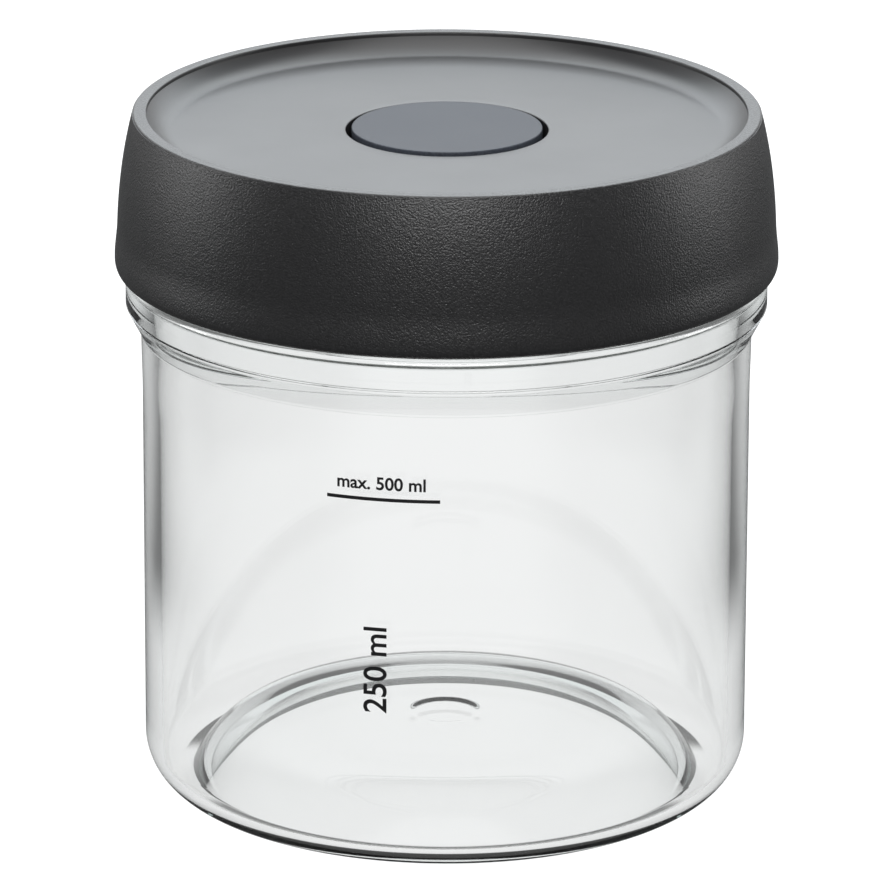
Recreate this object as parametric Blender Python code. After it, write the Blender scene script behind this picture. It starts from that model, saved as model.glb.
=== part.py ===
"""Fermentation jar: a round glass jar under a screw lid with a vent valve in its middle.

Everything turns about the Z axis, the jar stands on Z = 0, and all lengths are in metres.
"""

import math

import bmesh
import bpy

# Driving sizes of the glass jar
JAR_RADIUS = 0.0541
JAR_HEIGHT = 0.1137
JAR_WALL = 0.003
BASE_THICKNESS = 0.003
HEEL_RADIUS = 0.0095
HEEL_INSIDE_RADIUS = 0.0055
FOOT_RING_WIDTH = 0.0032
PUNT_RISE = 0.0084
FLOOR_RISE = 0.0094
DOME_POWER = 8
DIMPLE_RADIUS = 0.0068
DIMPLE_DEPTH = 0.0007
DIMPLE_EDGE = 0.0016
DOME_SHARES = (0.4, 0.6, 0.72, 0.8, 0.87, 0.93, 0.97, 1)

# Neck, ledge and collar of the jar
NECK_STEP = 0.00483
NECK_WALL = 0.0033
NECK_HEIGHT = 0.0181
NECK_FILLET = 0.0012
RIM_ROUND = 0.0011
COLLAR_PROUD = 0.0029
COLLAR_FACE = 0.0057
COLLAR_TAPER = 0.0051
COLLAR_EDGE = 0.001
SWELL_PROUD = 0.0002
SWELL_HEIGHT = 0.012
SHOULDER_DROP = 0.0032
SHOULDER_RISE = 0.001

# Screw thread shared by the jar and the lid
THREAD_STARTS = 3
THREAD_LEAD = 0.015
THREAD_HEIGHT = 0.0015
THREAD_BASE_WIDTH = 0.0024
THREAD_FOOT = 0.0055
THREAD_ARC_DEG = 104.0
THREAD_ROOT = 0.0006
THREAD_CREST_SHARE = 0.5
THREAD_END_SHARE = 0.3
THREAD_END_SHARES = (THREAD_END_SHARE, 0.8)

# Sealing ring on the rim of the jar
GASKET_THICKNESS = 0.0022
GASKET_ROUND = 0.0005

# Outer shell of the lid
SHELL_WALL = 0.002
DISH_THICKNESS = 0.0022
DISH_DEPTH = 0.0035
DISH_FILLET_WIDTH = 0.0047
RIM_WIDTH = 0.0024
RIM_EDGE = 0.0004
RIM_HOLLOW_DEPTH = 0.0028
RIM_HOLLOW_SLOPE = 0.002
LID_FLARE = 0.003
LID_KICK = 0.0004
LID_KICK_HEIGHT = 0.006
LID_REVEAL = 0.0006
LID_CORNER_HEIGHT = 0.002
LID_CORNER_WIDTH = 0.0022
LIP_WIDTH = 0.001
LIP_HEIGHT = 0.0009
SNAP_SLOPE = 0.0003
BARREL_POWER = 2.35
CORNER_POWER = 0.7

# Round guide in the middle of the shell
GUIDE_WALL = 0.0015
GUIDE_DEPTH = 0.008
GUIDE_CHAMFER = 0.0003

# Threaded liner inside the shell
LINER_WALL = 0.002
LINER_FLANGE_HEIGHT = 0.0015
LINER_TOP_ROUND = 0.0012
GASKET_LIP_WALL = 0.0014
GASKET_LIP_HEIGHT = 0.0023
WELL_WALL = 0.0018
WELL_DEPTH = 0.0105

# Vent button, its stem and its spring
BUTTON_RADIUS = 0.01687
BUTTON_PROUD = 0.0004
BUTTON_THICKNESS = 0.002
BUTTON_SKIRT_WALL = 0.0014
BUTTON_SKIRT_DEPTH = 0.007
BUTTON_ROUND = 0.0005
STEM_RADIUS = 0.0076
STEM_WALL = 0.001
STEM_LIP = 0.0006
STEM_LIP_HEIGHT = 0.0009
STEM_WINDOWS = 3
WINDOW_WIDTH = 0.0045
WINDOW_HEIGHT = 0.0032
SPRING_MEAN_RADIUS = 0.0105
SPRING_WIRE_RADIUS = 0.00045
SPRING_TURNS = 5

# Valve under the liner
CARRIER_RADIUS = 0.0114
CARRIER_THICKNESS = 0.0028
CARRIER_HUB_WALL = 0.001
CARRIER_HUB_HEIGHT = 0.0027
CARRIER_BARB = 0.0006
CARRIER_BARB_HEIGHT = 0.0008
ORING_RADIUS = 0.0007
ORING_SQUEEZE = 0.0002
UMBRELLA_HEAD_HEIGHT = 0.0012
UMBRELLA_EDGE = 0.0003
UMBRELLA_STEM_RADIUS = 0.001
UMBRELLA_BULB_RADIUS = 0.0018
UMBRELLA_BULB_HEIGHT = 0.0022
UMBRELLA_TIP_RADIUS = 0.0009
VENT_HOLES = 4
VENT_HOLE_RADIUS = 0.0006

# Clearances
SEAT_GAP = 0.0003
SLIDE_GAP = 0.0005
BUTTON_GAP = 0.001
THREAD_CLEARANCE = 0.0004
OVERRUN = 0.001
ON_AXIS = 0.00001
WELD = 0.000001

# Fineness of the turned shapes
LARGE_STEPS = 48
MEDIUM_STEPS = 32
SMALL_STEPS = 24
CURVE_STEPS = 5
ROUND_STEPS = 2
RIB_STEP_DEG = 8.0
SPRING_POINTS_PER_TURN = 10
SMOOTH_ANGLE = math.radians(32)

# Radii that follow from the driving sizes, from the neck outwards
neck_radius = JAR_RADIUS - NECK_STEP
mouth_radius = neck_radius - NECK_WALL
thread_radius = neck_radius + THREAD_HEIGHT
liner_inner = thread_radius + THREAD_CLEARANCE
liner_outer = liner_inner + LINER_WALL
lid_top_radius = liner_outer + SEAT_GAP + SHELL_WALL
lid_radius = lid_top_radius + LID_FLARE + LID_KICK
liner_thread_radius = neck_radius + THREAD_CLEARANCE
guide_inner = BUTTON_RADIUS + BUTTON_GAP
guide_outer = guide_inner + GUIDE_WALL
well_inner = guide_outer + SEAT_GAP
well_outer = well_inner + WELL_WALL
bore_radius = STEM_RADIUS + SLIDE_GAP
stem_inner = STEM_RADIUS - STEM_WALL

# Heights that follow, from the foot upwards
ledge_height = JAR_HEIGHT - NECK_HEIGHT
lid_bottom = ledge_height + LID_REVEAL
lid_widest = lid_bottom + LID_CORNER_HEIGHT
gasket_bottom = JAR_HEIGHT + SEAT_GAP
gasket_top = gasket_bottom + GASKET_THICKNESS
liner_under = gasket_top + SEAT_GAP
liner_top = liner_under + LINER_WALL
dish_under = liner_top + SEAT_GAP
dish_floor = dish_under + DISH_THICKNESS
lid_top = dish_floor + DISH_DEPTH
liner_bottom = lid_bottom + LIP_HEIGHT + SNAP_SLOPE + SEAT_GAP
well_floor = liner_top - WELL_DEPTH
well_under = well_floor - LINER_WALL
button_top = dish_floor + BUTTON_PROUD
button_under = button_top - BUTTON_THICKNESS
carrier_top = well_under - SEAT_GAP
carrier_bottom = carrier_top - CARRIER_THICKNESS

# Thread pitch from ridge to ridge, and the lid's ridge, which fills what the jar's leaves
thread_pitch = THREAD_LEAD / THREAD_STARTS
liner_ridge_width = thread_pitch - THREAD_BASE_WIDTH - SEAT_GAP - SEAT_GAP

MATERIALS = {
    "clear_glass": ((0.9, 0.95, 0.94), 0.02, 0.0),
    "lid_plastic": ((0.045, 0.045, 0.05), 0.45, 0.0),
    "liner_plastic": ((0.74, 0.75, 0.73), 0.4, 0.0),
    "button_plastic": ((0.08, 0.09, 0.105), 0.4, 0.0),
    "valve_plastic": ((0.6, 0.61, 0.6), 0.4, 0.0),
    "seal_silicone": ((0.75, 0.76, 0.74), 0.55, 0.0),
    "spring_steel": ((0.6, 0.6, 0.6), 0.25, 1.0),
}


def clear_scene():
    for obj in list(bpy.data.objects):
        bpy.data.objects.remove(obj, do_unlink=True)


def make_material(name):
    colour, roughness, metallic = MATERIALS[name]
    material = bpy.data.materials.new(name)
    material.use_nodes = True
    shader = material.node_tree.nodes["Principled BSDF"]
    shader.inputs["Base Color"].default_value = (*colour, 1)
    shader.inputs["Roughness"].default_value = roughness
    shader.inputs["Metallic"].default_value = metallic
    return material


def arc(centre, radii, start_deg, end_deg, steps=CURVE_STEPS):
    """Points of an elliptical arc in the (radius, height) plane, both ends included."""
    points = []
    for step in range(steps + 1):
        angle = math.radians(start_deg + (end_deg - start_deg) * step / steps)
        points.append(
            (centre[0] + radii[0] * math.cos(angle), centre[1] + radii[1] * math.sin(angle))
        )
    return points


def round_corner(centre, radius, start_deg, end_deg, steps=ROUND_STEPS):
    return arc(centre, (radius, radius), start_deg, end_deg, steps)


def link(obj, material):
    bpy.context.scene.collection.objects.link(obj)
    obj.data.materials.append(material)
    return obj


def turned(name, outline, steps, material):
    """A body turned about Z. Its outline climbs the inner side and comes down the outer one."""
    shape = bmesh.new()
    rim = [shape.verts.new((radius, 0, height)) for radius, height in outline]
    closed = outline[0][0] > ON_AXIS
    pairs = list(zip(rim, rim[1:])) + ([(rim[-1], rim[0])] if closed else [])
    edges = [shape.edges.new(pair) for pair in pairs]
    bmesh.ops.spin(
        shape,
        geom=rim + edges,
        cent=(0, 0, 0),
        axis=(0, 0, 1),
        angle=math.tau,
        steps=steps,
        use_merge=True,
    )
    bmesh.ops.remove_doubles(shape, verts=shape.verts, dist=WELD)
    bmesh.ops.recalc_face_normals(shape, faces=shape.faces)
    return finished(name, shape, material)


def finished(name, shape, material):
    mesh = bpy.data.meshes.new(name)
    shape.to_mesh(mesh)
    shape.free()
    mesh.shade_smooth()
    mesh.set_sharp_from_angle(angle=SMOOTH_ANGLE)
    return link(bpy.data.objects.new(name, mesh), material)


def hide_helper(obj):
    obj.hide_render = True
    obj.display_type = "WIRE"


def add_boolean(target, helper, operation):
    hide_helper(helper)
    modifier = target.modifiers.new(helper.name, "BOOLEAN")
    modifier.operation = operation
    modifier.solver = "EXACT"
    modifier.object = helper


def skin_rings(shape, rings):
    """Closes a row of equal rings into one body, with a cap at each end."""
    count = len(rings[0])
    for ring, following in zip(rings, rings[1:]):
        for i in range(count):
            j = (i + 1) % count
            shape.faces.new((ring[i], ring[j], following[j], following[i]))
    shape.faces.new(list(reversed(rings[0])))
    shape.faces.new(rings[-1])


def thread_ridges(name, wall_radius, height, base_width, foot, start_angle, material):
    """The ridges of a thread on a wall. A positive height stands outwards, a negative inwards."""
    shape = bmesh.new()
    side = math.copysign(1, height)
    steps = round(THREAD_ARC_DEG / RIB_STEP_DEG)
    for start in range(THREAD_STARTS):
        rings = []
        for step in range(steps + 1):
            share = step / steps
            turn = math.radians(THREAD_ARC_DEG) * share
            angle = start_angle + math.tau * start / THREAD_STARTS + turn
            middle = foot + THREAD_LEAD * turn / math.tau
            from_end = min(step, steps - step)
            size = THREAD_END_SHARES[from_end] if from_end < len(THREAD_END_SHARES) else 1
            crest_half = base_width * THREAD_CREST_SHARE * size / 2
            base_half = base_width * size / 2
            root = wall_radius - side * THREAD_ROOT
            crest = wall_radius + height * size
            corners = (
                (root, middle - base_half),
                (wall_radius, middle - base_half),
                (crest, middle - crest_half),
                (crest, middle + crest_half),
                (wall_radius, middle + base_half),
                (root, middle + base_half),
            )
            rings.append(
                [shape.verts.new((r * math.cos(angle), r * math.sin(angle), z)) for r, z in corners]
            )
        skin_rings(shape, rings)
    bmesh.ops.recalc_face_normals(shape, faces=shape.faces)
    return finished(name, shape, material)


def dome(rise, share):
    """Height of a flat-topped dome at a share of its radius."""
    return rise * (1 - share**DOME_POWER)


def jar_outline():
    inner = JAR_RADIUS - JAR_WALL
    floor_radius = inner - HEEL_INSIDE_RADIUS
    foot_outer = JAR_RADIUS - HEEL_RADIUS
    foot_inner = foot_outer - FOOT_RING_WIDTH
    floor_middle = BASE_THICKNESS + FLOOR_RISE
    floor = [
        (0, floor_middle - DIMPLE_DEPTH),
        (DIMPLE_RADIUS - DIMPLE_EDGE, floor_middle - DIMPLE_DEPTH),
        (DIMPLE_RADIUS, floor_middle),
    ]
    for share in DOME_SHARES[:-1]:
        floor.append((floor_radius * share, BASE_THICKNESS + dome(FLOOR_RISE, share)))
    heel_in = arc(
        (floor_radius, BASE_THICKNESS + HEEL_INSIDE_RADIUS),
        (HEEL_INSIDE_RADIUS, HEEL_INSIDE_RADIUS),
        270,
        360,
    )
    shoulder_low = ledge_height - SHOULDER_DROP
    shoulder_high = ledge_height + SHOULDER_RISE
    shoulder = []
    for step in range(CURVE_STEPS + 1):
        share = step / CURVE_STEPS
        ease = share * share * (3 - 2 * share)
        shoulder.append(
            (
                inner + (mouth_radius - inner) * ease,
                shoulder_low + (shoulder_high - shoulder_low) * share,
            )
        )
    rim_centre = JAR_HEIGHT - RIM_ROUND
    rim = round_corner((mouth_radius + RIM_ROUND, rim_centre), RIM_ROUND, 180, 90)
    rim += round_corner((neck_radius - RIM_ROUND, rim_centre), RIM_ROUND, 90, 0)
    ledge = round_corner(
        (neck_radius + NECK_FILLET, ledge_height + NECK_FILLET), NECK_FILLET, 180, 270
    )
    collar_radius = JAR_RADIUS + COLLAR_PROUD
    ledge += round_corner(
        (collar_radius - COLLAR_EDGE, ledge_height - COLLAR_EDGE), COLLAR_EDGE, 90, 0
    )
    swell_radius = JAR_RADIUS + SWELL_PROUD
    swell_top = ledge_height - COLLAR_FACE - COLLAR_TAPER
    collar = [(collar_radius, ledge_height - COLLAR_FACE), (swell_radius, swell_top)]
    swell = []
    for step in range(1, CURVE_STEPS):
        share = step / (CURVE_STEPS - 1)
        bulge = math.cos(share * math.pi) / 2 + 1 / 2
        swell.append((JAR_RADIUS + SWELL_PROUD * bulge, swell_top - SWELL_HEIGHT * share))
    heel_out = arc((foot_outer, HEEL_RADIUS), (HEEL_RADIUS, HEEL_RADIUS), 0, -90)
    punt = [(foot_inner * share, dome(PUNT_RISE, share)) for share in reversed(DOME_SHARES)]
    punt.append((0, PUNT_RISE))
    return floor + heel_in + shoulder + rim + ledge + collar + swell + heel_out + punt


def make_glass_jar(material):
    jar = turned("glass_jar", jar_outline(), LARGE_STEPS, material)
    ridges = thread_ridges(
        "jar_thread",
        neck_radius,
        THREAD_HEIGHT,
        THREAD_BASE_WIDTH,
        ledge_height + THREAD_FOOT,
        0,
        material,
    )
    add_boolean(jar, ridges, "UNION")
    return jar


def make_gasket(material):
    inner = mouth_radius - SEAT_GAP
    outer = liner_inner - SEAT_GAP
    low, high = gasket_bottom + GASKET_ROUND, gasket_top - GASKET_ROUND
    outline = (
        round_corner((inner + GASKET_ROUND, high), GASKET_ROUND, 180, 90, 1)
        + round_corner((outer - GASKET_ROUND, high), GASKET_ROUND, 90, 0, 1)
        + round_corner((outer - GASKET_ROUND, low), GASKET_ROUND, 0, -90, 1)
        + round_corner((inner + GASKET_ROUND, low), GASKET_ROUND, 270, 180, 1)
    )
    return turned("lid_gasket", outline, LARGE_STEPS, material)


def barrel_radius(height):
    """Outer radius of the shell's skirt at a height, kicked out to its widest at the bottom."""
    share = max(0, (height - lid_widest) / (lid_top - lid_widest))
    along = min(max(0, height - lid_widest) / LID_KICK_HEIGHT, 1)
    kick = LID_KICK * along * along * (3 - 2 * along)
    return lid_radius - kick - LID_FLARE * share**BARREL_POWER


def barrel(low, high, steps, inset=0):
    """Points down the skirt, from high to low, set in by a wall."""
    points = []
    for step in range(steps + 1):
        height = high + (low - high) * step / steps
        points.append((barrel_radius(height) - inset, height))
    return points


def shell_outline():
    edge_radius = lid_radius - LID_CORNER_WIDTH
    guide = [
        (guide_inner, dish_floor - GUIDE_DEPTH),
        (guide_inner, dish_floor - GUIDE_CHAMFER),
        (guide_inner + GUIDE_CHAMFER, dish_floor),
    ]
    rim_inner = lid_top_radius - RIM_WIDTH
    dish = arc(
        (rim_inner - DISH_FILLET_WIDTH, lid_top), (DISH_FILLET_WIDTH, DISH_DEPTH), 270, 360
    )
    skirt = [(lid_top_radius - RIM_EDGE, lid_top)]
    skirt += barrel(lid_widest, lid_top - RIM_EDGE, CURVE_STEPS + ROUND_STEPS)
    corner = []
    for step in range(1, CURVE_STEPS + 1):
        angle = math.pi / 2 * step / CURVE_STEPS
        corner.append(
            (
                edge_radius + LID_CORNER_WIDTH * max(math.cos(angle), 0) ** CORNER_POWER,
                lid_widest - LID_CORNER_HEIGHT * math.sin(angle) ** CORNER_POWER,
            )
        )
    lip_inner = edge_radius - LIP_WIDTH
    wall_inner = lid_radius - SHELL_WALL
    lip_top = lid_bottom + LIP_HEIGHT
    hollow_top = dish_under + RIM_HOLLOW_DEPTH
    hollow_inner = barrel_radius(dish_under) - SHELL_WALL
    inner = list(reversed(barrel(lid_widest, hollow_top, CURVE_STEPS, SHELL_WALL)))
    lip = [(lip_inner, lid_bottom), (lip_inner, lip_top), (wall_inner, lip_top + SNAP_SLOPE)]
    hollow_start = hollow_inner - RIM_WIDTH - RIM_HOLLOW_SLOPE
    under = [(hollow_start + RIM_HOLLOW_SLOPE, hollow_top), (hollow_start, dish_under)]
    under += [(guide_outer, dish_under), (guide_outer, dish_floor - GUIDE_DEPTH)]
    return guide + dish + skirt + corner + lip + inner + under


def make_lid_shell(material):
    return turned("lid_shell", shell_outline(), LARGE_STEPS, material)


def liner_outline():
    flange_top = liner_bottom + LINER_FLANGE_HEIGHT
    flange_radius = barrel_radius(flange_top) - SHELL_WALL - SEAT_GAP
    lip_outer = mouth_radius - SEAT_GAP - SEAT_GAP
    lip_inner = lip_outer - GASKET_LIP_WALL
    lip_bottom = liner_under - GASKET_LIP_HEIGHT
    top_round = LINER_TOP_ROUND
    well = [(bore_radius, well_under), (bore_radius, well_floor), (well_inner, well_floor)]
    well.append((well_inner, liner_top))
    outside = round_corner((liner_outer - top_round, liner_top - top_round), top_round, 90, 0)
    outside += [(liner_outer, flange_top), (flange_radius, flange_top)]
    outside += [(flange_radius, liner_bottom), (liner_inner, liner_bottom)]
    inside = [(liner_inner, liner_under), (lip_outer, liner_under), (lip_outer, lip_bottom)]
    inside += [(lip_inner, lip_bottom), (lip_inner, liner_under), (well_outer, liner_under)]
    inside.append((well_outer, well_under))
    return well + outside + inside


def make_lid_liner(material):
    liner = turned("lid_liner", liner_outline(), LARGE_STEPS, material)
    foot = liner_bottom + liner_ridge_width / 2 + SEAT_GAP
    jar_foot = ledge_height + THREAD_FOOT
    climbed = foot - (jar_foot - thread_pitch / 2)
    ridges = thread_ridges(
        "liner_thread",
        liner_inner,
        liner_thread_radius - liner_inner,
        liner_ridge_width,
        foot,
        math.tau * climbed / THREAD_LEAD,
        material,
    )
    add_boolean(liner, ridges, "UNION")
    return liner


def make_window_cutters(material):
    """Three bars across the stem, joined as one helper, that open its windows."""
    shape = bmesh.new()
    low = well_floor + SEAT_GAP
    half = WINDOW_WIDTH / 2
    for window in range(STEM_WINDOWS):
        angle = math.tau * window / STEM_WINDOWS
        rings = []
        for reach in (stem_inner - OVERRUN, STEM_RADIUS + OVERRUN):
            ring = []
            for across, height in ((-half, 0), (half, 0), (half, WINDOW_HEIGHT), (-half, WINDOW_HEIGHT)):
                x = reach * math.cos(angle) - across * math.sin(angle)
                y = reach * math.sin(angle) + across * math.cos(angle)
                ring.append(shape.verts.new((x, y, low + height)))
            rings.append(ring)
        skin_rings(shape, rings)
    bmesh.ops.recalc_face_normals(shape, faces=shape.faces)
    return finished("stem_windows", shape, material)


def make_valve_button(material):
    skirt_inner = BUTTON_RADIUS - BUTTON_SKIRT_WALL
    skirt_bottom = button_under - BUTTON_SKIRT_DEPTH + BUTTON_THICKNESS
    lip_low = carrier_top + SEAT_GAP
    lip_high = lip_low + STEM_LIP_HEIGHT
    lip_radius = stem_inner - STEM_LIP
    outline = [(0, button_under), (stem_inner, button_under), (stem_inner, lip_high)]
    outline += [(lip_radius, lip_high), (lip_radius, lip_low), (STEM_RADIUS, lip_low)]
    outline += [(STEM_RADIUS, button_under), (skirt_inner, button_under)]
    outline += [(skirt_inner, skirt_bottom), (BUTTON_RADIUS, skirt_bottom)]
    outline += round_corner(
        (BUTTON_RADIUS - BUTTON_ROUND, button_top - BUTTON_ROUND), BUTTON_ROUND, 0, 90
    )
    outline.append((0, button_top))
    button = turned("valve_button", list(reversed(outline)), MEDIUM_STEPS, material)
    add_boolean(button, make_window_cutters(material), "DIFFERENCE")
    return button


def make_button_spring(material):
    """A coil of round wire between the floor of the well and the button."""
    low = well_floor + SEAT_GAP + SPRING_WIRE_RADIUS
    high = button_under - SEAT_GAP - SPRING_WIRE_RADIUS
    count = SPRING_TURNS * SPRING_POINTS_PER_TURN
    curve = bpy.data.curves.new("button_spring", "CURVE")
    curve.dimensions = "3D"
    curve.bevel_depth = SPRING_WIRE_RADIUS
    curve.bevel_resolution = 1
    curve.use_fill_caps = True
    path = curve.splines.new("POLY")
    path.points.add(count)
    for step, point in enumerate(path.points):
        share = step / count
        angle = math.tau * SPRING_TURNS * share
        point.co = (
            SPRING_MEAN_RADIUS * math.cos(angle),
            SPRING_MEAN_RADIUS * math.sin(angle),
            low + (high - low) * share,
            1,
        )
    points = [point.co.xyz for point in path.points]
    least = min(
        (a - b).length
        for i, a in enumerate(points)
        for b in points[i + SPRING_POINTS_PER_TURN // 2 :]
    )
    print(f"spring: least gap between its turns {least - 2 * SPRING_WIRE_RADIUS:.5f} m")
    return link(bpy.data.objects.new("button_spring", curve), material)


def hub_radii():
    """Outer and inner radius of the carrier's hub, which fits inside the stem's lip."""
    outer = stem_inner - STEM_LIP - SEAT_GAP
    return outer, outer - CARRIER_HUB_WALL


def groove_radii():
    """Inner and outer radius of the ring groove, which lies outside the liner's bore."""
    inner = bore_radius + SLIDE_GAP
    return inner, inner + 2 * (ORING_RADIUS + SEAT_GAP)


def make_vent_cutters(material):
    """Upright pins, joined as one helper, that open the vent holes in the carrier."""
    shape = bmesh.new()
    hub_inner = hub_radii()[1]
    ring_radius = (UMBRELLA_STEM_RADIUS + SEAT_GAP + hub_inner) / 2
    for hole in range(VENT_HOLES):
        angle = math.tau * (hole + 1 / 2) / VENT_HOLES
        rings = []
        for height in (carrier_bottom - OVERRUN, carrier_top + OVERRUN):
            ring = []
            for corner in range(SMALL_STEPS // 2):
                around = math.tau * corner / (SMALL_STEPS // 2)
                x = ring_radius * math.cos(angle) + VENT_HOLE_RADIUS * math.cos(around)
                y = ring_radius * math.sin(angle) + VENT_HOLE_RADIUS * math.sin(around)
                ring.append(shape.verts.new((x, y, height)))
            rings.append(ring)
        skin_rings(shape, rings)
    bmesh.ops.recalc_face_normals(shape, faces=shape.faces)
    return finished("vent_pins", shape, material)


def make_valve_carrier(material):
    """The disc that the stem pulls up against the liner, with a hub and a ring groove."""
    hub_outer, hub_inner = hub_radii()
    groove_inner, groove_outer = groove_radii()
    groove_floor = carrier_top - 2 * ORING_RADIUS - SEAT_GAP + ORING_SQUEEZE
    hub_top = carrier_top + CARRIER_HUB_HEIGHT
    barb_low = hub_top - CARRIER_BARB_HEIGHT
    stem_hole = UMBRELLA_STEM_RADIUS + SEAT_GAP
    face = carrier_top - ORING_SQUEEZE
    outline = [(stem_hole, carrier_bottom), (stem_hole, carrier_top), (hub_inner, carrier_top)]
    outline += [(hub_inner, hub_top), (hub_outer, hub_top), (hub_outer + CARRIER_BARB, barb_low)]
    outline += [(hub_outer, barb_low), (hub_outer, face), (groove_inner, face)]
    outline += [(groove_inner, groove_floor), (groove_outer, groove_floor), (groove_outer, face)]
    outline += [(CARRIER_RADIUS, face), (CARRIER_RADIUS, carrier_bottom)]
    carrier = turned("valve_carrier", outline, MEDIUM_STEPS, material)
    add_boolean(carrier, make_vent_cutters(material), "DIFFERENCE")
    return carrier


def make_valve_oring(material):
    groove_inner, groove_outer = groove_radii()
    middle = ((groove_inner + groove_outer) / 2, carrier_top - ORING_RADIUS)
    section = round_corner(middle, ORING_RADIUS, 180, -180, 2 * CURVE_STEPS - 2)[:-1]
    return turned("valve_oring", section, MEDIUM_STEPS, material)


def make_valve_umbrella(material):
    """A soft flap over the vent holes, held by a bulb pulled through the carrier."""
    hub_inner = hub_radii()[1]
    head_radius = hub_inner - SLIDE_GAP
    head_low = carrier_top + SEAT_GAP
    bulb_top = carrier_bottom - SEAT_GAP
    bulb_low = bulb_top - UMBRELLA_BULB_HEIGHT
    head = arc(
        (0, head_low + UMBRELLA_EDGE),
        (head_radius, UMBRELLA_HEAD_HEIGHT - UMBRELLA_EDGE),
        90,
        0,
        CURVE_STEPS - 1,
    )
    head[0] = (0, head[0][1])
    outline = head + [(head_radius, head_low), (UMBRELLA_STEM_RADIUS, head_low)]
    outline += [(UMBRELLA_STEM_RADIUS, bulb_top), (UMBRELLA_BULB_RADIUS, bulb_top)]
    outline += [(UMBRELLA_TIP_RADIUS, bulb_low), (0, bulb_low)]
    return turned("valve_umbrella", outline, SMALL_STEPS, material)


def add_joint_frame(name, height, parent=None):
    """An empty on the common axis that carries what its joint moves."""
    frame = bpy.data.objects.new(name, None)
    bpy.context.scene.collection.objects.link(frame)
    frame.location = (0, 0, height)
    carry(parent, [frame])
    return frame


def carry(parent, children):
    """Parents the children and leaves them where they are."""
    bpy.context.view_layer.update()
    for child in children:
        if parent is not None:
            child.parent = parent
            child.matrix_parent_inverse = parent.matrix_world.inverted()
    bpy.context.view_layer.update()


def main():
    clear_scene()
    made = {name: make_material(name) for name in MATERIALS}
    jar = make_glass_jar(made["clear_glass"])
    gasket = make_gasket(made["seal_silicone"])
    shell = make_lid_shell(made["lid_plastic"])
    liner = make_lid_liner(made["liner_plastic"])
    spring = make_button_spring(made["spring_steel"])
    button = make_valve_button(made["button_plastic"])
    carrier = make_valve_carrier(made["valve_plastic"])
    oring = make_valve_oring(made["seal_silicone"])
    umbrella = make_valve_umbrella(made["seal_silicone"])

    lift = add_joint_frame("lid_lift_frame", ledge_height, jar)
    turn = add_joint_frame("lid_turn_frame", ledge_height, lift)
    press = add_joint_frame("button_press_frame", well_floor, turn)
    carry(lift, [gasket])
    carry(turn, [shell, liner, spring])
    carry(press, [button, carrier, oring, umbrella])


main()
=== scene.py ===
"""A fermentation jar dressed for its photograph: clear glass, grained screw lid and vent button.

All lengths are in metres, +Z is up, and the fill mark faces -Y. Every turned piece takes its
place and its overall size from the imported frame.
"""

import logging
import math
from dataclasses import dataclass, field
from enum import Enum
from functools import cached_property
from typing import Callable, ClassVar, Optional, Union

import bmesh
import bpy
from mathutils import Matrix, Quaternion, Vector


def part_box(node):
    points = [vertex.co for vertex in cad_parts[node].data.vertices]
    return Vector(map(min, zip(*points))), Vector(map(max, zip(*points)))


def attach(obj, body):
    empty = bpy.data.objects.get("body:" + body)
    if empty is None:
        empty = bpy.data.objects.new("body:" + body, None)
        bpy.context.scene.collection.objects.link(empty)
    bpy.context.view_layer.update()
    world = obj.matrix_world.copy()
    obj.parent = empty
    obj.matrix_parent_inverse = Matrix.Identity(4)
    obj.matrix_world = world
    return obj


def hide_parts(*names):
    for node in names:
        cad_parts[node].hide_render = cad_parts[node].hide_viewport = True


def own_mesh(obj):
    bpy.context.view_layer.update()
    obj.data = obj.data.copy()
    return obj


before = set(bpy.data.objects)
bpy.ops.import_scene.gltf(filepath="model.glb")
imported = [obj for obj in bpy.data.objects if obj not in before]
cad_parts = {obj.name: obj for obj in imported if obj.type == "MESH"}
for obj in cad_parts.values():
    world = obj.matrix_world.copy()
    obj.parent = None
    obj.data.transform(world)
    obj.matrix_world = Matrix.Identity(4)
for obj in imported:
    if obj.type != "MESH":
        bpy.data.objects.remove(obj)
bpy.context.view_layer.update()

log = logging.getLogger("fermentation_jar")

Point = tuple[float, float]
Point3 = tuple[float, float, float]
Colour = tuple[float, float, float]
Object = bpy.types.Object
Material = bpy.types.Material

MM = 0.001
WELD = 0.001 * MM
SMOOTH_ANGLE = math.radians(28)
FINE_STEPS = 256
SMALL_STEPS = 128
ARC_STEPS = 14
ROUND_STEPS = 6
FACE_STEPS = 16
SMALL_CURVE_STEPS = 8
WIRE_STEPS = 12
CLOSED_PITCH = 2.2  # rise of the coil's flattened end turn, in wire radii
ROW = 2 * MM
SHORT_ROW = 0.5 * MM
WHITE = (1.0, 1.0, 1.0)


class Side(Enum):
    """Which way a thread stands from its wall."""

    OUTWARD = 1
    INWARD = -1


class Grip(Enum):
    """The body that a piece rides on."""

    JAR = "jar"
    SEAL = "seal"
    LID = "lid"
    BUTTON = "button"


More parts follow.
